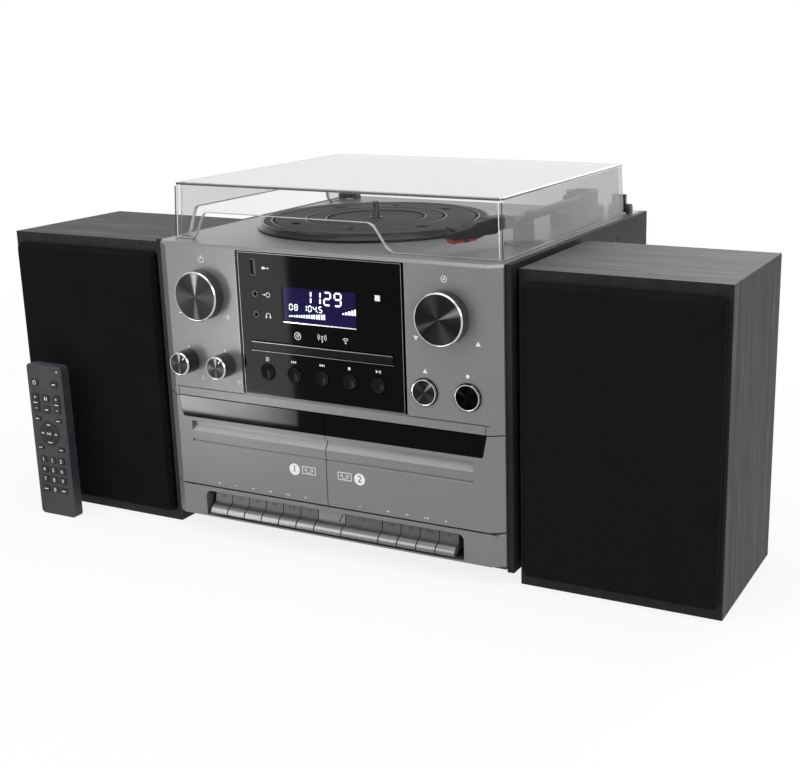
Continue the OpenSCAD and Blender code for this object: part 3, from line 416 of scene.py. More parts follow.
def block(name, profile, to3, half, mat, body, bevel):
    """A bevelled piece: a side profile that reaches half to each side, placed by to3(side, u, v)."""
    bm = bmesh.new()
    prism(bm, profile, lambda u, v, w: to3(w - half, u, v), 2 * half)
    if bevel:
        bmesh.ops.bevel(bm, geom=list(bm.edges), offset=bevel, segments=2, profile=0.6, affect="EDGES")
    add_mesh(name, bm, mat, body)


def turned(pts, x, y, deg):
    """The points, turned by deg and moved to (x, y)."""
    c, s = math.cos(math.radians(deg)), math.sin(math.radians(deg))
    return [(x + c * u - s * v, y + s * u + c * v) for u, v in pts]


def disc(x, z, r, n=32):
    """A round outline of n points."""
    return [(x + r * math.cos(2 * math.pi * i / n), z + r * math.sin(2 * math.pi * i / n)) for i in range(n)]


def arc_band(x, z, r, w, a0, a1, n=24):
    """A part of a ring of radius r, w wide, from a0 to a1 degrees."""
    turns = [math.radians(a0 + (a1 - a0) * i / n) for i in range(n + 1)]
    outer = [(x + (r + w / 2) * math.cos(a), z + (r + w / 2) * math.sin(a)) for a in turns]
    inner = [(x + (r - w / 2) * math.cos(a), z + (r - w / 2) * math.sin(a)) for a in reversed(turns)]
    return outer + inner


def ring(x, z, r, w, n=48):
    """A ring as two halves, because an outline has no hole."""
    return [arc_band(x, z, r, w, 180 * k, 180 * (k + 1), n // 2) for k in range(2)]


def rect(x, z, w, h):
    return [(x - w / 2, z - h / 2), (x + w / 2, z - h / 2), (x + w / 2, z + h / 2), (x - w / 2, z + h / 2)]


def bar(half, z0, z1):
    """A level bar that reaches half to each side of the middle, from z0 up to z1."""
    return [(-half, z0), (half, z0), (half, z1), (-half, z1)]


def tri(x, z, r, turn):
    """A triangle that points to turn degrees from +u."""
    angles = [math.radians(turn + a) for a in (0, 120, 240)]
    return [(x + r * math.cos(a), z + r * math.sin(a)) for a in angles]


def plus(x, z, r, w):
    return [rect(x, z, 2 * r, w), rect(x, z, w, 2 * r)]


# The bars that each figure of the display lights
SEGMENTS = {
    "0": "abcdef", "1": "bc", "2": "abged", "4": "fgbc", "5": "afgcd", "8": "abcdefg", "9": "abfgcd",
}


def digit(x, z, w, h, what, t):
    """A seven-segment figure, slightly slanted, centred on (x, z)."""
    out = []
    lean = 0.05
    hw, hh, gap = w / 2, h / 2, t * 0.22
    bars = {
        "a": (0, hh, True), "g": (0, 0, True), "d": (0, -hh, True),
        "f": (-hw, hh / 2, False), "b": (hw, hh / 2, False),
        "e": (-hw, -hh / 2, False), "c": (hw, -hh / 2, False),
    }
    for s in SEGMENTS[what]:
        u, v, flat = bars[s]
        end = (hw if flat else hh / 2) - gap
        neck = end - t / 2
        pts = [(-end, 0), (-neck, t / 2), (neck, t / 2), (end, 0), (neck, -t / 2), (-neck, -t / 2)]
        if not flat:
            pts = [(-b, a) for a, b in pts]
        out.append([(x + u + a + (v + b) * lean, z + v + b) for a, b in pts])
    return out


def loft(bm, rows):
    """Faces between closed rows of points, one after another; a row of one point is an apex."""
    for a, b in zip(rows, rows[1:]):
        n = max(len(a), len(b))
        for i in range(n):
            j = (i + 1) % n
            if len(a) == 1:
                bm.faces.new((a[0], b[i], b[j]))
            elif len(b) == 1:
                bm.faces.new((a[i], a[j], b[0]))
            else:
                bm.faces.new((a[i], a[j], b[j], b[i]))


def lathe(name, profile, place, mat, body, n):
    """A turned piece: profile of (radius, height) points, placed by place(x, y, h)."""
    bm = bmesh.new()
    loft(bm, [[bm.verts.new(place(u, v, h)) for u, v in disc(0, 0, r, n if r else 1)] for r, h in profile])
    add_mesh(name, bm, mat, body, smooth=28)


def numeral(name, text, size, to3, t, mat, body, centre):
    """Plain figures from the built-in font, as a thin raised mesh."""
    curve = bpy.data.curves.new(name, "FONT")
    curve.body = text
    curve.size = size
    curve.align_x, curve.align_y = "CENTER", "CENTER"
    curve.extrude = 0.5
    curve.resolution_u = 3
    holder = add_object(name + "_text", curve)
    mesh = bpy.data.meshes.new_from_object(holder)
    bpy.data.objects.remove(holder)
    bpy.data.curves.remove(curve)
    bm = bmesh.new()
    bm.from_mesh(mesh)
    bpy.data.meshes.remove(mesh)
    for v in bm.verts:
        v.co = to3(v.co.x + centre[0], v.co.y + centre[1], t if v.co.z > 0 else 0)
    add_mesh(name, bm, mat, body)


def frame_ring(x0, x1, z0, z1, w):
    """Four strips round a rectangle, w wide, inside its outline."""
    return [
        [(x0, z0), (x1, z0), (x1 - w, z0 + w), (x0 + w, z0 + w)],
        [(x1, z0), (x1, z1), (x1 - w, z1 - w), (x1 - w, z0 + w)],
        [(x1, z1), (x0, z1), (x0 + w, z1 - w), (x1 - w, z1 - w)],
        [(x0, z1), (x0, z0), (x0 + w, z0 + w), (x0 + w, z1 - w)],
    ]


def strip_along(name, pts, x0, x1, lift, mat, body, sink=0.2):
    """A skin over a profile of (y, z) points, from x0 to x1, that stands out by lift and sinks in by sink."""
    bm = bmesh.new()
    vs = [Vector((0, y, z)) for y, z in pts]
    outs = []
    for i in range(len(vs)):
        d = (vs[min(i + 1, len(vs) - 1)] - vs[max(i - 1, 0)]).normalized()
        outs.append(Vector((1, 0, 0)).cross(d))
    rows = []
    for x in (x0, x1):
        low = [bm.verts.new(v + Vector((x, 0, 0)) - o * sink) for v, o in zip(vs, outs)]
        top = [bm.verts.new(v + Vector((x, 0, 0)) + o * lift) for v, o in zip(vs, outs)]
        rows.append((low, top))
    (la, ta), (lb, tb) = rows
    n = len(vs)
    for i in range(n - 1):
        bm.faces.new((ta[i], ta[i + 1], tb[i + 1], tb[i]))
        bm.faces.new((la[i], lb[i], lb[i + 1], la[i + 1]))
        bm.faces.new((la[i], la[i + 1], ta[i + 1], ta[i]))
        bm.faces.new((lb[i], tb[i], tb[i + 1], lb[i + 1]))
    bm.faces.new((la[0], ta[0], tb[0], lb[0]))
    bm.faces.new((la[-1], lb[-1], tb[-1], ta[-1]))
    add_mesh(name, bm, mat, body, smooth=50)


def ribbon(name, pts, place, w0, w1, t, mat, body):
    """A band that follows a line of (a, b) points, t thick, from depth w0 to w1."""
    bm = bmesh.new()
    n = len(pts)
    ins, outs = [], []
    for i in range(n):
        d = (Vector(pts[min(i + 1, n - 1)]) - Vector(pts[max(i - 1, 0)])).normalized()
        o = Vector((-d.y, d.x)) * t / 2
        p = Vector(pts[i])
        ins.append([bm.verts.new(place(*(p - o), w)) for w in (w0, w1)])
        outs.append([bm.verts.new(place(*(p + o), w)) for w in (w0, w1)])
    for i in range(n - 1):
        j = i + 1
        bm.faces.new((ins[i][0], ins[j][0], ins[j][1], ins[i][1]))
        bm.faces.new((outs[i][0], outs[i][1], outs[j][1], outs[j][0]))
        bm.faces.new((ins[i][0], outs[i][0], outs[j][0], ins[j][0]))
        bm.faces.new((ins[i][1], ins[j][1], outs[j][1], outs[i][1]))
    bm.faces.new((ins[0][0], ins[0][1], outs[0][1], outs[0][0]))
    bm.faces.new((ins[-1][0], outs[-1][0], outs[-1][1], ins[-1][1]))
    add_mesh(name, bm, mat, body, smooth=40)


def in_front(x, z, y=0.0):
    """A lathe place whose axis runs to the front through (x, z); h counts outwards from depth y."""
    return lambda a, b, h: Vector((x + a, y - h, z + b))


def at_back(x, z, y):
    """The same on a face that looks to the back at depth y."""
    return lambda a, b, h: Vector((x + a, y + h, z + b))


def upright(x, y):
    return lambda a, b, h: Vector((x + a, y + b, h))


# ---------- knobs and round buttons ----------
KNOBS = {  # centre x and z, radius, height over the front
    "volume_knob": (-120.5, 229, 22.2, 12),
    "select_knob": (120.5, 229, 22.2, 12),
    "bass_knob": (-140.5, 167, 10.5, 16),
    "treble_knob": (-100.5, 167, 10.5, 16),
}
ROUND_BUTTONS = {
    "eject_button": (100.5, 164, 11.6, 2.4),
    "record_button": (140.5, 164, 11.6, 2.4),
}
# How far each turned face's wedges of painted highlight are turned, in degrees, and how bright they are
FACES = {"select_knob": (-64, 0.75), "eject_button": (-40, 0.8), "record_button": (60, 0.08)}
# Where the wedges of painted highlight lie round a turned face, as parts of a turn, and their shade
PAINTED_HIGHLIGHT_WEDGES = [
    (0.0, 0.06), (0.10, 0.022), (0.215, 0.02), (0.25, 0.11), (0.285, 0.02), (0.42, 0.03), (0.50, 0.07),
    (0.60, 0.02), (0.705, 0.03), (0.745, 0.36), (0.785, 0.03), (0.9, 0.018), (1.0, 0.06),
]
# The dip at the centre, then outlines as steps out from the edge and up from the height
KNOB_CAP = dict(
    dip=-0.32, face=[(-2.4, -0.3), (-1.15, -0.22), (-1.15, -0.9)],
    rim=[(-1.25, -0.5), (-1.2, 0.02), (-0.95, 0.14), (-0.6, 0.05), (0.06, -0.75), (0.08, -1.1), (-0.4, -1.2)],
    n=96, slot="knob_black",
)
BUTTON_CAP = dict(
    dip=-0.35, face=[(-2, -0.3), (-1.1, -0.25), (-1.1, -0.9)],
    rim=[(-1.3, -0.5), (-1.25, 0.02), (-0.95, 0.16), (-0.5, 0.08), (0.05, -0.7), (0.02, -1.2), (-0.4, -1.3)],
    n=72, slot="button_grey",
)
RIM = brushed("bright_rim", (0.62, 0.62, 0.63), 0.16, 1.0, "z", vary=0.1)


def spun_face(name, x, z, turn=0, shade=1.0):
    """A dark turned face with fine rings, and wedges of painted highlight in its colour round the centre,
    brightest above and below it.
    """
    m = Mat(name, (0.10, 0.10, 0.105), 0.3, Metallic=1.0, Anisotropic=0.9)
    at = m.centred((x, 0, z), (1, 0, 1))
    radius = m.node("VectorMath", {0: at}, operation="LENGTH").outputs["Value"]
    rings = m.node("TexNoise", {"W": radius, "Scale": 2400, "Detail": 3},
                   noise_dimensions="1D").outputs["Fac"]
    rotated = m.node("VectorRotate", {"Vector": at, "Angle": math.radians(turn)},
                     rotation_type="Y_AXIS").outputs["Vector"]
    part = m.node("SeparateXYZ", {"Vector": rotated}).outputs
    flat = m.node("CombineXYZ", {"X": part["X"], "Y": part["Z"]}).outputs["Vector"]
    around = m.node("TexGradient", {"Vector": flat}, gradient_type="RADIAL").outputs["Fac"]
    # The wedges of painted highlight tint the colour round the centre
    m.tint(m.ramp(around, *PAINTED_HIGHLIGHT_WEDGES), m.ramp(rings, (0.3, 0.6 * shade), (0.7, shade)))
    m.rough(m.spread(rings, 0.24, 0.38))
    m.bump(rings, 0.15, 0.00004)
    tangent = m.node("Tangent", direction_type="RADIAL", axis="Y").outputs["Tangent"]
    m.link(tangent, m.surface.inputs["Tangent"])
    return m.material


def turned_cap(name, x, z, r, h, dip, face, rim, n, slot):
    """A turned face in a bright rim, on a knob or button of radius r that stands out by h."""
    here = in_front(x, z)
    points = [(0, h + dip), *((r + u, h + v) for u, v in face), (0, h - 0.9)]
    lathe(name + "_face", points, here, spun_face(name + "_spun", x, z, *FACES.get(name, ())), name, n)
    lathe(name + "_rim", [(r + u, h + v) for u, v in rim], here, RIM, name, n)


for name, (x, z, r, h) in KNOBS.items():
    turned_cap(name, x, z, r, h, **KNOB_CAP)
    lathe(name + "_foot", [(r - 0.5, 0.9), (r + 0.05, 1.0), (r + 0.1, 1.5), (r + 0.05, 2.0), (r - 0.5, 2.1)],
          in_front(x, z), MATERIALS["knob_black"], name, 96)

# How far the two tone knobs' pointers are turned to the right of straight up, in degrees
for name, turn in (("bass_knob", 44), ("treble_knob", 36)):
    x, z, r, h = KNOBS[name]
    pointer = turned([(5.6, -0.55), (9.1, -0.55), (9.1, 0.55), (5.6, 0.55)], x, z, 90 - turn)
    at_front(name + "_pointer", [pointer], -h + 0.28, 0.12, INK, name)

for name, spot in ROUND_BUTTONS.items():
    turned_cap(name, *spot, **BUTTON_CAP)

ROW = ["button_menu", "button_back", "button_next", "button_stop", "button_play"]
ROW_PITCH, ROW_Z = 27.9, 164.8
for i, name in enumerate(ROW):
    here = in_front((i - 2) * ROW_PITCH, ROW_Z)
    cap = [(0, 0.15), (5.2, 0.2), (5.9, 0.5), (6.2, 0.85), (6.6, 0.9), (6.85, 0.6), (6.9, 0.1), (6.6, -0.2)]
    well = [(7.55, -0.1), (7.75, -0.5), (8.35, -0.42), (8.6, -0.3), (8.7, -0.25), (8.5, -0.6)]
    lathe(name + "_cap", cap, here, MATERIALS["button_grey"], name, 64)
    lathe(name + "_well", well, here, MATERIALS["gloss_black"], ROOT, 64)

# ---------- marks on the front ----------
FASCIA_MARKS = [
    rect(-147.1, 210.4, 4.2, 0.9), *plus(-95.2, 210.4, 2.3, 1.0), *plus(-127.4, 151.7, 2.1, 0.95),
    *plus(-87.7, 151.8, 2.1, 0.95), rect(-153.8, 151.7, 3.6, 0.9), rect(-114.2, 151.8, 3.6, 0.9),
    tri(-141.0, 179.6, 1.5, -90), tri(-101.0, 179.6, 1.5, -90), tri(93.4, 209.8, 2.7, -90),
    tri(150.4, 209.0, 2.7, 90), tri(101.2, 181.6, 2.5, 90), disc(140.5, 181.6, 1.6),
    arc_band(-120.3, 260.3, 2.6, 0.7, 125, 415), rect(-120.3, 262.4, 0.75, 3.0),
    *ring(120.5, 260.3, 2.5, 0.6), disc(120.5, 260.3, 0.9),
]
at_front("fascia_marks", FASCIA_MARKS, 0.0, 0.07, INK, ROOT)

ICONS = [
    rect(-54.6, 257.1, 3.0, 2.2), rect(-51.7, 257.1, 3.0, 0.6), tri(-49.8, 257.1, 1.0, 0),
    *ring(-51.4, 233.7, 1.9, 0.55), tri(-54.6, 233.7, 1.1, 0), rect(-56.2, 233.7, 2.2, 0.5),
    arc_band(-52.1, 215.4, 2.2, 0.6, -5, 185), rect(-54.2, 214.3, 1.3, 2.4), rect(-50.0, 214.3, 1.3, 2.4),
    *ring(-22.8, 200.1, 3.1, 0.6), *ring(-22.8, 200.1, 1.2, 0.5), arc_band(-22.8, 200.1, 2.2, 0.4, 20, 70),
    rect(2.0, 198.9, 0.7, 4.6), tri(2.0, 201.6, 1.2, -90), arc_band(2.0, 201.2, 2.6, 0.5, -40, 40),
    arc_band(2.0, 201.2, 2.6, 0.5, 140, 220), arc_band(2.0, 201.2, 4.2, 0.5, -40, 40),
    arc_band(2.0, 201.2, 4.2, 0.5, 140, 220),
    disc(25.4, 198.4, 0.8), arc_band(25.4, 198.4, 2.2, 0.6, 45, 135),
    arc_band(25.4, 198.4, 3.9, 0.6, 45, 135),
    rect(58.0, 239.6, 4.9, 4.9),
    rect(-55.8, 177.6, 3.6, 0.55), rect(-55.8, 176.3, 3.6, 0.55), rect(-55.8, 175.0, 3.6, 0.55),
    rect(-30.6, 176.3, 0.5, 2.4), tri(-28.8, 176.3, 1.35, 180), tri(-26.7, 176.3, 1.35, 180),
    rect(2.7, 176.3, 0.5, 2.4), tri(0.9, 176.3, 1.35, 0), tri(-1.2, 176.3, 1.35, 0),
    rect(27.8, 176.3, 2.3, 2.3),
    tri(54.8, 176.6, 1.5, 0), rect(57.3, 176.6, 0.6, 2.4), rect(58.5, 176.6, 0.6, 2.4),
]
at_front("panel_icons", ICONS, 0.3, 0.07, INK, ROOT)

TRIM = brushed("panel_trim", (0.22, 0.22, 0.225), 0.3, 0.8, "x", vary=0.2)

# ---------- display ----------
clock = []
for x, what in ((-11.0, "1"), (-1.6, "1"), (8.6, "2"), (18.9, "9")):
    clock += digit(x, 234.9, 6.2, 10.8, what, 1.5)
small = []
for x, what in ((-28.6, "0"), (-23.4, "8"), (-14.4, "1"), (-9.4, "0"), (-4.4, "4"), (1.2, "5")):
    small += digit(x, 225.0, 3.0, 4.9, what, 0.85)
small += [disc(-1.8, 222.7, 0.5, 12)]


def rising_bars(x, z, count, step, w, low, rise):
    """A row of bars on one foot line, each higher than the one before."""
    return [rect(x + i * step, z + (low + i * rise) / 2, w, low + i * rise) for i in range(count)]


small += rising_bars(-30.2, 216.4, 15, 2.5, 1.5, 1.2, 0.25) + rising_bars(24.0, 222.6, 5, 3.0, 1.9, 1.4, 1.0)
at_front("display_figures", clock, 0.9, 0.05, LIT, ROOT)
at_front("display_rows", small, 0.9, 0.05, LIT, ROOT)
at_front("display_frame", frame_ring(-37.6, 37.6, 210.0, 243.3, 0.55), 0.35, 0.15, MATERIALS["gloss_black"],
         ROOT)
at_front("display_lip", [bar(36.6, 210.9, 211.9)], 0.7, 0.35, BRIGHT, ROOT)
at_front("panel_frame", frame_ring(-81.05, 81.05, 142.75, 270.0, 0.5), 0.35, 0.22, TRIM, ROOT)

# Thin pale strips along the opening's sides, the tray's top and the slot: painted highlights on these edges
EDGE_HIGHLIGHT = brushed("painted_edge_highlight", (0.24, 0.24, 0.245), 0.3, 0.8, "z", vary=0.15)
at_front("opening_edges", [rect(side * 83.925, 206.4, 0.45, 129) for side in (-1, 1)], 0.05, 0.12, EDGE_HIGHLIGHT, ROOT)
at_front("tray_edges", [bar(70.9, 190.9, 191.5)], -0.35, 0.14, EDGE_HIGHLIGHT, "disc_tray")
at_front("slot_edge", [bar(71.8, 183.0, 183.35)], 0.3, 0.12, EDGE_HIGHLIGHT, ROOT)
at_front("lower_line", [bar(158, 141.0, 141.35)], 0.02, 0.06, DARK_INK, ROOT)

# ---------- cassette doors ----------
for n, side in ((1, -1), (2, 1)):
    body = f"cassette_door_{n}"
    at_front(f"door_{n}_disc", [disc(side * 33.6, 77.8, 5.4, 40)], 0.0, 0.08, INK, body)
    numeral(f"door_{n}_number", str(n), 9.0, front(-0.08), 0.05, DARK_INK, body,
            (side * 33.6, 77.9))
    cx, cz = side * 18.5, 78.4
    sign = frame_ring(cx - 7, cx + 7, cz - 3.6, cz + 3.6, 0.55) + ring(cx - 3, cz + 0.4, 1.15, 0.45, 24)
    sign += ring(cx + 3, cz + 0.4, 1.15, 0.45, 24) + [rect(cx, cz - 2.0, 5.4, 0.45)]
    at_front(f"door_{n}_cassette", sign, 0.0, 0.05, INK, body)

# ---------- piano keys ----------
KEYS = {  # where each key starts and ends, in steps of the row
    "key_1_record": (0, 1), "key_1_play": (1, 2), "key_1_rewind": (2, 3), "key_1_forward": (3, 4),
    "key_1_stop": (4, 5), "key_1_pause": (5, 6), "key_2_play": (7.5, 9.5), "key_2_rewind": (9.5, 10.5),
    "key_2_forward": (10.5, 11.5), "key_2_stop": (11.5, 12.5), "key_2_pause": (12.5, 13.5),
}
KEY_COVER = (6, 7.5)  # the fixed cover between the two groups
KEYS_LEFT, KEY_STEP = -126.9, 18.8
# Lighter copies of the keys' satin: a painted sheen on the lower front and a painted highlight on the ridge
KEY_PAINTED_SHEEN = satin("key_painted_sheen", (0.15, 0.15, 0.153), 0.26, 0.7)
KEY_RIDGE_HIGHLIGHT = satin("key_ridge", (0.48, 0.48, 0.49), 0.22, 0.9)
# The lower front face of a key, from its ridge down
LOW_FACE = [(4.2, 31.9), (2.4, 31.15), (0.6, 30.3), (-1.2, 29.2), (-2.6, 27.8), (-3.5, 26.5), (-4.1, 25.0),
            (-4.2, 23.9)]
KEY_SLOPE = sloped((4.5, 33), (6, 43))


def key_symbol(kind, x, z, r):
    if kind == "record":
        return [disc(x, z, r * 0.9, 24)]
    if kind == "play":
        return [tri(x, z, r, 0)]
    if kind == "rewind":
        return [tri(x - 0.9 * r, z, r, 180), tri(x + 0.7 * r, z, r, 180)]
    if kind == "forward":
        return [tri(x - 0.7 * r, z, r, 0), tri(x + 0.9 * r, z, r, 0)]
    if kind == "stop":
        square = rect(x - 1.5 * r, z, 1.35 * r, 1.35 * r)
        x += 1.5 * r
        return [square, tri(x, z + 0.35 * r, r, 90), rect(x, z - 0.7 * r, 1.7 * r, 0.4 * r)]
    return [rect(x + side * 0.5 * r, z, 0.5 * r, 1.7 * r) for side in (-1, 1)]


def key_skins(name, span, gaps, lifts, body):
    """The lower front and the ridge of a key or of the cover, in lighter copies of its satin as painted sheen
    and painted highlight, each with its gap and lift.
    """
    skins = (("front", LOW_FACE[1:], KEY_PAINTED_SHEEN), ("ridge", LOW_FACE[:2], KEY_RIDGE_HIGHLIGHT))
    x0, x1 = (KEYS_LEFT + k * KEY_STEP for k in span)
    for (tag, pts, mat), gap, lift in zip(skins, gaps, lifts):
        strip_along(f"{name}_{tag}", pts, x0 + gap, x1 - gap, lift, mat, body)


for name, span in KEYS.items():
    n, kind = name.split("_")[1:]
    mid = KEYS_LEFT + sum(span) / 2 * KEY_STEP
    key_skins(name, span, (0.65, 0.6), (0.12, 0.14), name)
    decal(name + "_symbol", key_symbol(kind, mid, 5.2, 1.35), KEY_SLOPE, 0.06, DARK_INK, name)
    at_front(f"legend_{n}_{kind}", key_symbol(kind, mid, 52.6, 0.85), 0.0, 0.06, INK, f"cassette_door_{n}")
key_skins("key_cover", KEY_COVER, (0.65, 0.65), (0.12, 0.12), ROOT)

# ---------- turntable ----------
MAT_TOP = 281.2
ARM = Vector((143, 94, 296))  # the arm's pivot
ARM_TURN = -27  # how far the arm stands turned at rest, in degrees


def polar(r, deg):
    """A point of the platter, r from the spindle."""
    return turned([(r, 0)], *SPINDLE, deg)[0]


def pill(length, w, n=8):
    """A bar with round ends."""
    out = []
    for side in (1, -1):
        for k in range(n + 1):
            a = -side * math.pi / 2 + math.pi * k / n
            out.append((side * (length - w) / 2 + w / 2 * math.cos(a), w / 2 * math.sin(a)))
    return out


def on_platter(name, profile, mat, n):
    """A turned piece of the platter; its profile's heights count from the mat's top."""
    lathe(name, [(r, MAT_TOP + h) for r, h in profile], upright(*SPINDLE), mat, "turntable_platter", n)


# Black sheets in the mat's slots, strokes and grooves: painted shade in these recesses
PIT_SHADE = moulded("mat_pit_shade", (0.003, 0.003, 0.003), 0.7, Specular_IOR_Level=0.0)
# Raised rings beside the grooves in a lighter, glossier colour: a painted highlight on their edge
SHEEN = moulded("mat_ring", (0.03, 0.03, 0.032), 0.3, grain=300, Specular_IOR_Level=0.35)
RIM_GLOSS = moulded("rim_gloss", (0.008, 0.008, 0.009), 0.2, grain=200, Specular_IOR_Level=0.2)
STEEL = brushed("spindle_steel", (0.06, 0.06, 0.063), 0.25, 1.0, "z")
slots = [turned(pill(13, 7), *polar(80, d), d + 90) for d in (-126, -28, 62, 147)]
strokes = [turned(pill(20, 2.4), *polar(73, d), d) for d in (-77, 105)]
for tag, outlines in (("slots", slots), ("strokes", strokes)):
    decal("mat_" + tag, outlines, on_top(MAT_TOP - 0.05), 0.12, PIT_SHADE, "turntable_platter")
for k, r in enumerate((45.3, 64.8, 96.2)):
    groove = [(r - 1.1, -0.1), (r - 1.1, 0.05), (r + 1.1, 0.05), (r + 1.1, -0.1)]
    ridge = [(r + 1.1, -0.1), (r + 1.4, 0.28), (r + 2.1, 0.28), (r + 2.7, -0.1)]
    on_platter(f"mat_groove_{k}", groove, PIT_SHADE, 128)
    on_platter(f"mat_ring_{k}", ridge, SHEEN, 128)
on_platter("platter_rim", [(105.2, -0.5), (106.4, -0.25), (107.7, -0.22), (109.5, -3.5), (111.05, -4.9),
                           (111.06, -6.2)], RIM_GLOSS, 160)
on_platter("spindle_sleeve", [(6.2, -0.1), (6.0, 0.25), (3.75, 0.4), (3.64, 1), (3.64, 12.8), (3.2, 13.9),
                              (2.1, 15.06), (0, 15.1)], STEEL, 48)


def in_head(side, along, up):
    """A point of the head in its own frame: side to the right, along towards the nose."""
    x, y = turned([(side, -along)], ARM.x, ARM.y, ARM_TURN)[0]
    return Vector((x, y, ARM.z + up))


# Pieces of the head: half width, bevel, material, and a side profile of (along, up) points
HEAD = {
    "cartridge": (5.2, 0.35, RED, [
        (45, -8.6), (71.2, -8.9), (71.5, -10.4), (70.5, -12.0), (68, -12.2), (49, -11.9), (46, -10.6)]),
    "cartridge_clip": (5.35, 0.2, moulded("clip_black", (0.01, 0.01, 0.01), 0.3), [
        (56, -8.2), (60, -8.2), (60, -12.4), (56, -12.4)]),
    "stylus_bar": (0.5, 0, STEEL, [(66.5, -11.9), (69.6, -12.6), (70.4, -12.9), (69.8, -12.3)]),
    "head_lift": (1.0, 0.15, MATERIALS["headshell_black"], [
        (63, -2.0), (68, -3.2), (73, -0.6), (75, 1.2), (74.2, 1.6), (70, -0.9), (66, -1.4)]),
    "head_plate": (6.6, 0.25, MATERIALS["headshell_black"], [
        (12, 5.3), (33.6, 5.3), (36.8, 3.7), (47.8, 3.3), (53.6, 0.5), (53.6, -0.2), (12, 4.8)]),
}
for name, (half, bevel, mat, profile) in HEAD.items():
    block(name, profile, in_head, half, mat, "arm_wand", bevel)
lathe("head_collar", [(4.25, 14), (4.5, 14.2), (4.5, 17), (4.25, 17.2)], at_back(ARM.x, ARM.z, ARM.y), STEEL,
      "arm_wand", 40)


# ---------- lid ----------
LID_Z, LID_TOP = 274.4, 322.5  # the skirt's foot, and the middle of the upper edge lines
CUT_TOP = LID_Z + 24
LID_HALF, LID_FRONT = 164.5, 20.0
# Pale strips and lines along the lid's edges: painted highlight
LID_HIGHLIGHT = moulded("lid_highlight_edge", (0.50, 0.50, 0.52), 0.12, grain=60, depth=0.00001)
# Dark lines along the lid's corners and upper edges: painted shade
LID_SHADE_LINE = moulded("lid_shade_line", (0.07, 0.07, 0.075), 0.15, grain=60, depth=0.00001, Specular_IOR_Level=0.2)
GLINT = moulded("clear_glint", (0.85, 0.85, 0.86), 0.12, grain=60, depth=0.00001)


def round_off(pts, r=1.5, n=5):
    """The line with each of its corners rounded in n steps."""
    out = [pts[0]]
    for a, b, c in zip(pts, pts[1:], pts[2:]):
        a, b, c = Vector(a), Vector(b), Vector(c)
        k = min(r, (b - a).length / 2.1, (c - b).length / 2.1)
        p, q = b + (a - b).normalized() * k, b + (c - b).normalized() * k
        for i in range(n + 1):
            t = i / n
            out.append(tuple(p * (1 - t) ** 2 + b * 2 * t * (1 - t) + q * t * t))
    return out + [pts[-1]]


def cut_line(a0, a1, b1, b0):
    """The edge of a raised cut in the lid's skirt, from a0 at its foot by a1 and b1 above to b0."""
    return round_off([(a0, LID_Z), (a0 + 4, LID_Z + 3), (a1 - 1, CUT_TOP - 6), (a1 + 1, CUT_TOP - 2),
                      (a1 + 4, CUT_TOP), (b1 - 6, CUT_TOP), (b1 - 1, CUT_TOP - 2.5), (b1 + 3, CUT_TOP - 8),
                      (b0 - 6, LID_Z + 4), (b0, LID_Z)])


def lid_edge(tag, a0, line, a1, place, w1, t):
    """A pale strip along the skirt's edge, a painted highlight: its foot from a0 to a1, with the line of its
    cut between them.
    """
    pts = [(a0, LID_Z + 0.3), *line, (a1, LID_Z + 0.3)]
    ribbon(f"lid_{tag}_edge", pts, place, 0.05, w1, t, LID_HIGHLIGHT, "dust_lid")


lid_edge("front", -160, cut_line(-144, -132, 45, 62), 160, lambda a, b, w: Vector((a, LID_FRONT + w, b)),
         3.2, 0.5)
lid_edge("left", 24, cut_line(38, 50, 267, 279), 297, lambda a, b, w: Vector((-LID_HALF + w, a, b)), 3.2, 0.7)
lid_edge("right", 24, [], 297, lambda a, b, w: Vector((LID_HALF - w, a, b)), 2.8, 0.7)


def lid_line(name, pts, r, mat):
    """A fine rounded line of light or shade along an edge of the lid."""
    curve = bpy.data.curves.new(name, "CURVE")
    curve.dimensions = "3D"
    curve.bevel_depth = r * MM
    curve.bevel_resolution = 2
    spline = curve.splines.new("POLY")
    spline.points.add(len(pts) - 1)
    for p, q in zip(spline.points, pts):
        p.co = (q[0] * MM, (q[1] + FRONT) * MM, q[2] * MM, 1)
    curve.materials.append(mat)
    ob = add_object(name, curve)
    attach(ob, "dust_lid")


# The corners get a dark line of painted shade and a pale line of painted highlight; the upper edges get lines
# of painted shade and, at the back, of painted highlight
CORNERS = (("corner", 163.2, 21.2, 0.55, LID_SHADE_LINE), ("corner_light", 160.6, 20.6, 0.45, GLINT))
for tag, side in (("l", -1), ("r", 1)):
    for name, x, y, r, mat in CORNERS:
        foot, head = (side * x, y, LID_Z + 0.6), (side * (x - 1.8), y + 1.8, LID_Z + 46)
        lid_line(f"lid_{name}_{tag}", [foot, head], r, mat)
    lid_line(f"lid_side_line_{tag}", [(side * 161.2, y, LID_TOP) for y in (25.5, 296.0)], 0.9, LID_SHADE_LINE)
lid_line("lid_front_line", [(x, 23.3, LID_TOP) for x in (-160.0, 160.0)], 0.9, LID_SHADE_LINE)
lid_line("lid_back_line", [(x, 297.6, LID_TOP - 0.1) for x in (-159.5, 159.5)], 0.3, LID_HIGHLIGHT)

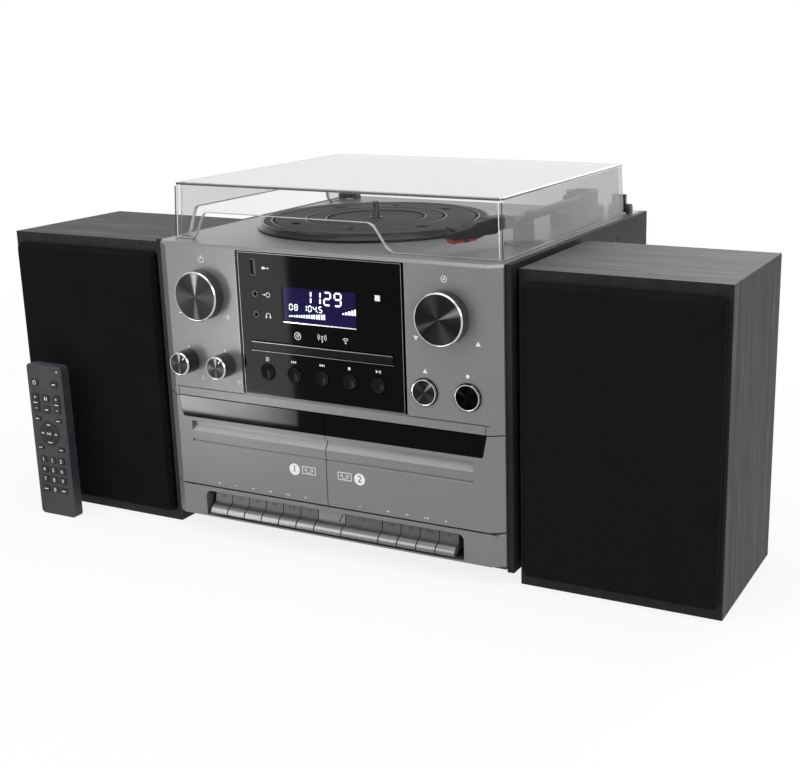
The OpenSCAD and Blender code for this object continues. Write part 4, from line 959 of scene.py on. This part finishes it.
# ---------- remote ----------
RX, RY = -298.5, -21.0  # the remote's middle and its front face
PAD_FACE = RY - 0.8
PAD = [(x, z) for z in (56, 46, 36, 26) for x in (-12, -1, 10)]
for (x, z), what in zip(PAD, "123456789 0 "):
    if what != " ":
        numeral(f"remote_{what}", what, 5.6, front(PAD_FACE), 0.05, INK, ROOT, (RX + x, z))
PAD_BARS = [  # x from the remote's middle, z, width, height
    (-12, 26, 4.6, 0.9), (10, 26, 4.6, 0.9), (-13, 134.4, 0.6, 2.2), (11, 133, 4.2, 0.9),
    (-14, 107.5, 2.6, 0.6), (12, 107.5, 2.6, 0.6), (-14, 113, 5.0, 0.8), (12, 113, 5.0, 0.8),
    (-1, 107, 4.0, 0.9), (-1.8, 118, 0.9, 3.4), (0.2, 118, 0.9, 3.4), (-14, 97, 4.0, 0.8),
    (12, 97, 4.0, 0.8), (-14, 68, 4.0, 0.8), (12, 68, 4.0, 0.8),
]
PAD_MARKS = [
    *(rect(RX + x, z, w, h) for x, z, w, h in PAD_BARS), arc_band(RX - 13, 133, 1.8, 0.6, 125, 415),
    *plus(RX - 14, 118.5, 1.3, 0.6), *plus(RX + 12, 118.5, 1.3, 0.6),
]
RING_MARKS = [
    tri(RX - 9.9, 83, 1.1, 180), tri(RX - 8.4, 83, 1.1, 180), tri(RX + 6.4, 83, 1.1, 0),
    tri(RX + 7.9, 83, 1.1, 0), rect(RX - 1, 91.8, 4.2, 0.8), rect(RX - 1, 74.2, 5.6, 0.8),
]
PLAY_MARK = [tri(RX - 2.3, 83, 1.5, 0), rect(RX - 0.1, 83, 0.5, 2.6), rect(RX + 0.9, 83, 0.5, 2.6)]
at_front("remote_marks", PAD_MARKS, PAD_FACE, 0.05, INK, ROOT)
at_front("remote_ring_marks", RING_MARKS, RY - 0.5, 0.05, INK, ROOT)
at_front("remote_play_mark", PLAY_MARK, RY - 0.9, 0.05, INK, ROOT)
lathe("remote_lamp", [(0, 0.35), (0.6, 0.3), (0.9, 0.0), (0.9, -0.3)], in_front(RX + 15.5, 145.5, RY), INK,
      ROOT, 24)
for name, x in (("remote_seam", RX - 21.5), ("remote_seam_r", RX + 21.5)):
    ribbon(name, [(x, 4), (x, 147)], lambda a, b, w: Vector((a, RY + w, b)), 4.6, 5.0, 0.12, DARK_INK, ROOT)

# ---------- screws, back and terminals ----------
SCREW = brushed("screw_steel", (0.16, 0.16, 0.165), 0.3, 1.0, "z")
SIDE, BACK, BASE = 174.5, 332, 15  # where the cabinet's side, back and underside carry their screws


def screw(name, place, r=3.0, n=32, hub=0.42, floor=0.35, top=1.15):
    """A pan-head screw with a cross recess down to floor, its head along the place's height."""
    bm = bmesh.new()
    head = [(r, 0), (r, 0.5), (r * 0.82, 0.95), (r * 0.5, top)]
    rows = [[bm.verts.new(place(u, v, h)) for u, v in disc(0, 0, q, n)] for q, h in head]
    cross = []
    for i, (u, v) in enumerate(disc(0, 0, r * hub, n)):
        in_slot = abs(math.sin(4 * math.pi * i / n)) < 0.42
        cross.append(bm.verts.new(place(u, v, floor if in_slot else top)))
    loft(bm, [*rows, cross, [bm.verts.new(place(0, 0, floor))]])
    bm.faces.new(list(reversed(rows[0])))
    add_mesh(name, bm, SCREW, ROOT)


for k, (y, z) in enumerate(((246, 257), (60, 40), (302, 40))):
    for tag, side in (("l", -1), ("r", 1)):
        screw(f"side_screw_{k}{tag}", lambda a, b, h: Vector((side * (SIDE + h), y + a, z + b)))
for k, (x, z) in enumerate(((-160, 25), (160, 25), (-160, 262), (160, 262), (0, 262), (0, 25))):
    screw(f"back_screw_{k}", at_back(x, z, BACK), 2.6)
for k, (x, y) in enumerate(((-150, 30), (150, 30), (-150, 315), (150, 315), (0, 30), (0, 315))):
    screw(f"base_screw_{k}", lambda a, b, h: Vector((x + a, y + b, BASE - h)), 2.8)

JACKS = {"m40": (-40, (0.5, 0.5, 0.5)), "m20": (-20, (0.45, 0.02, 0.02)), "p10": (10, (0.25, 0.25, 0.26))}
JACK_RING = [(4.05, 5.6), (4.3, 6.05), (5.4, 6.05), (6.06, 5.6), (6.06, 2.0), (5.9, 1.5)]
for tag, (x, color) in JACKS.items():
    mat = moulded("socket_ring_" + tag[1:], color, 0.35)
    lathe("line_socket_" + tag, JACK_RING, at_back(x, 60, BACK - 0.06), mat, ROOT, 40)

TAB_RED = moulded("tab_red", (0.35, 0.015, 0.012), 0.4)
TAB_BLACK = moulded("tab_black", (0.012, 0.012, 0.012), 0.35)
TAB = [(1.0, 116.5), (5.0, 117.0), (5.9, 118.4), (5.9, 127.6), (5.0, 128.8), (1.0, 129.1)]
TAB_PITCH, TAB_HALF = 14, 4.1
for tag, x, y in (("main", -30, BACK), ("left", -266, 162), ("right", 266, 162)):
    for i in range(4):
        middle = x + (i - 1.5) * TAB_PITCH
        block(f"tab_{tag}_{i}", TAB, lambda side, u, v: Vector((middle + side, y + u, v)), TAB_HALF,
              TAB_RED if i % 2 else TAB_BLACK, ROOT, 0.3)


# ---------- stage ----------
WHITE = (1, 1, 1, 1)


def seen(tree):
    """1 for what the camera sees, also through clear pieces and in reflections; 0 for other light."""
    ray = add_node(tree, "LightPath").outputs
    looked = add_node(tree, "Math", {0: ray["Is Camera Ray"], 1: ray["Is Transmission Ray"]})
    return add_node(tree, "Math", {0: looked.outputs["Value"], 1: ray["Is Glossy Ray"]},
                    use_clamp=True).outputs["Value"]


def make_world():
    """White where it is seen, and a dim fill for everything else."""
    world = bpy.data.worlds.new("world")
    bpy.context.scene.world = world
    world.use_nodes = True
    tree = world.node_tree
    fill = tree.nodes["Background"]
    fill.inputs["Color"].default_value = WHITE
    fill.inputs["Strength"].default_value = 0.3
    clear = add_node(tree, "Background", {"Color": WHITE, "Strength": 1.0})
    both = add_node(tree, "MixShader", {
        "Fac": seen(tree), 1: fill.outputs["Background"], 2: clear.outputs["Background"],
    })
    tree.links.new(both.outputs["Shader"], tree.nodes["World Output"].inputs["Surface"])


def floor_material():
    """A matt floor that keeps the shadow near the object and fades to plain white far away."""
    m = Mat("floor", (0.84, 0.84, 0.84), 0.9, Specular_IOR_Level=0.1)
    away = m.node("VectorMath", {0: m.place}, operation="LENGTH").outputs["Value"]
    fade = m.node("MapRange", {
        "Value": away, "From Min": 0.45, "From Max": 1.6, "To Min": 0.84, "To Max": 1.0,
    }, interpolation_type="SMOOTHSTEP").outputs["Result"]
    white = m.node("Emission", {"Strength": 1.0}).outputs["Emission"]
    both = m.node("MixShader", {
        "Fac": m.calc("MULTIPLY", seen(m.tree), fade), 1: m.surface.outputs["BSDF"], 2: white,
    })
    m.link(both.outputs["Shader"], m.tree.nodes["Material Output"].inputs["Surface"])
    return m.material


def make_floor(half=4.0):
    bm = bmesh.new()
    bmesh.ops.create_grid(bm, x_segments=2, y_segments=2, size=half)
    mesh = bpy.data.meshes.new("floor")
    bm.to_mesh(mesh)
    bm.free()
    mesh.materials.append(floor_material())
    floor = add_object("floor", mesh)


def area(name, at, to, size, power):
    """A rectangular lamp at one point that looks to another, with its size as (width, height) in metres."""
    lamp = bpy.data.lights.new(name, "AREA")
    lamp.shape = "RECTANGLE"
    lamp.size, lamp.size_y = size
    lamp.energy = power
    ob = add_object(name, lamp)
    ob.location = at
    ob.rotation_euler = (Vector(to) - Vector(at)).to_track_quat("-Z", "Y").to_euler()
    ob.visible_camera = False
    return ob


def fade_across(lamp, start, middle, end, at_middle=0.55):
    """Lets a lamp's strength fall across its width, as the edge of a large soft light does."""
    lamp.use_nodes = True
    tree = lamp.node_tree
    place = add_node(tree, "NewGeometry").outputs["Parametric"]
    across = add_node(tree, "SeparateXYZ", {"Vector": place}).outputs["X"]
    ramp = add_node(tree, "FloatCurve", {"Value": across})
    ramp.mapping.clip_max_y = 2
    points = ramp.mapping.curves[0].points
    points[0].location = (0, start)
    points.new(at_middle, middle)
    points[-1].location = (1, end)
    ramp.mapping.update()
    tree.links.new(ramp.outputs["Value"], tree.nodes["Emission"].inputs["Strength"])


def make_lamps():
    area("top_soft", (0.1, -0.25, 2.0), (0, -0.05, 0.2), (1.8, 1.8), 26)
    area("key_left", (-1.3, -1.65, 1.3), (0, -0.15, 0.15), (1.1, 1.1), 16.5)
    area("fill_right", (1.7, -1.15, 0.9), (0.1, -0.15, 0.15), (0.9, 0.9), 15)
    area("back_rim", (0.2, 1.75, 1.2), (0, 0.05, 0.3), (1.4, 1.4), 16)
    # A slim light that adds a soft sheen on the left, in reflections only
    left = (-0.345, -0.54, 0.10), (-0.05, -0.16, 0.2), (0.075, 0.21)
    area("sheen_light", *left, 0.4).visible_diffuse = False
    # Slim lights that only the polished faces pick up, on the left of the panel and of the door windows
    polished = bpy.data.collections.new("polished_faces")
    for node, ob in frame["nodes"].items():
        if SLOT[node] in ("gloss_black", "window_black", "display_glass"):
            polished.objects.link(ob)
    panel = area("panel_light", *left, 0.75)
    strip = area("strip_light", (-0.2515, -0.36, 0.0565), (-0.2515, 0, 0.0565), (0.165, 0.02904), 1.0)
    for ob, fall in ((panel, (1.5, 0.9, 0.3)), (strip, (1.1, 0.75, 0.15))):
        ob.visible_diffuse = False
        ob.light_linking.receiver_collection = polished
        fade_across(ob.data, *fall)


make_world()
make_floor()
make_lamps()
bpy.context.scene.view_settings.view_transform = "Standard"
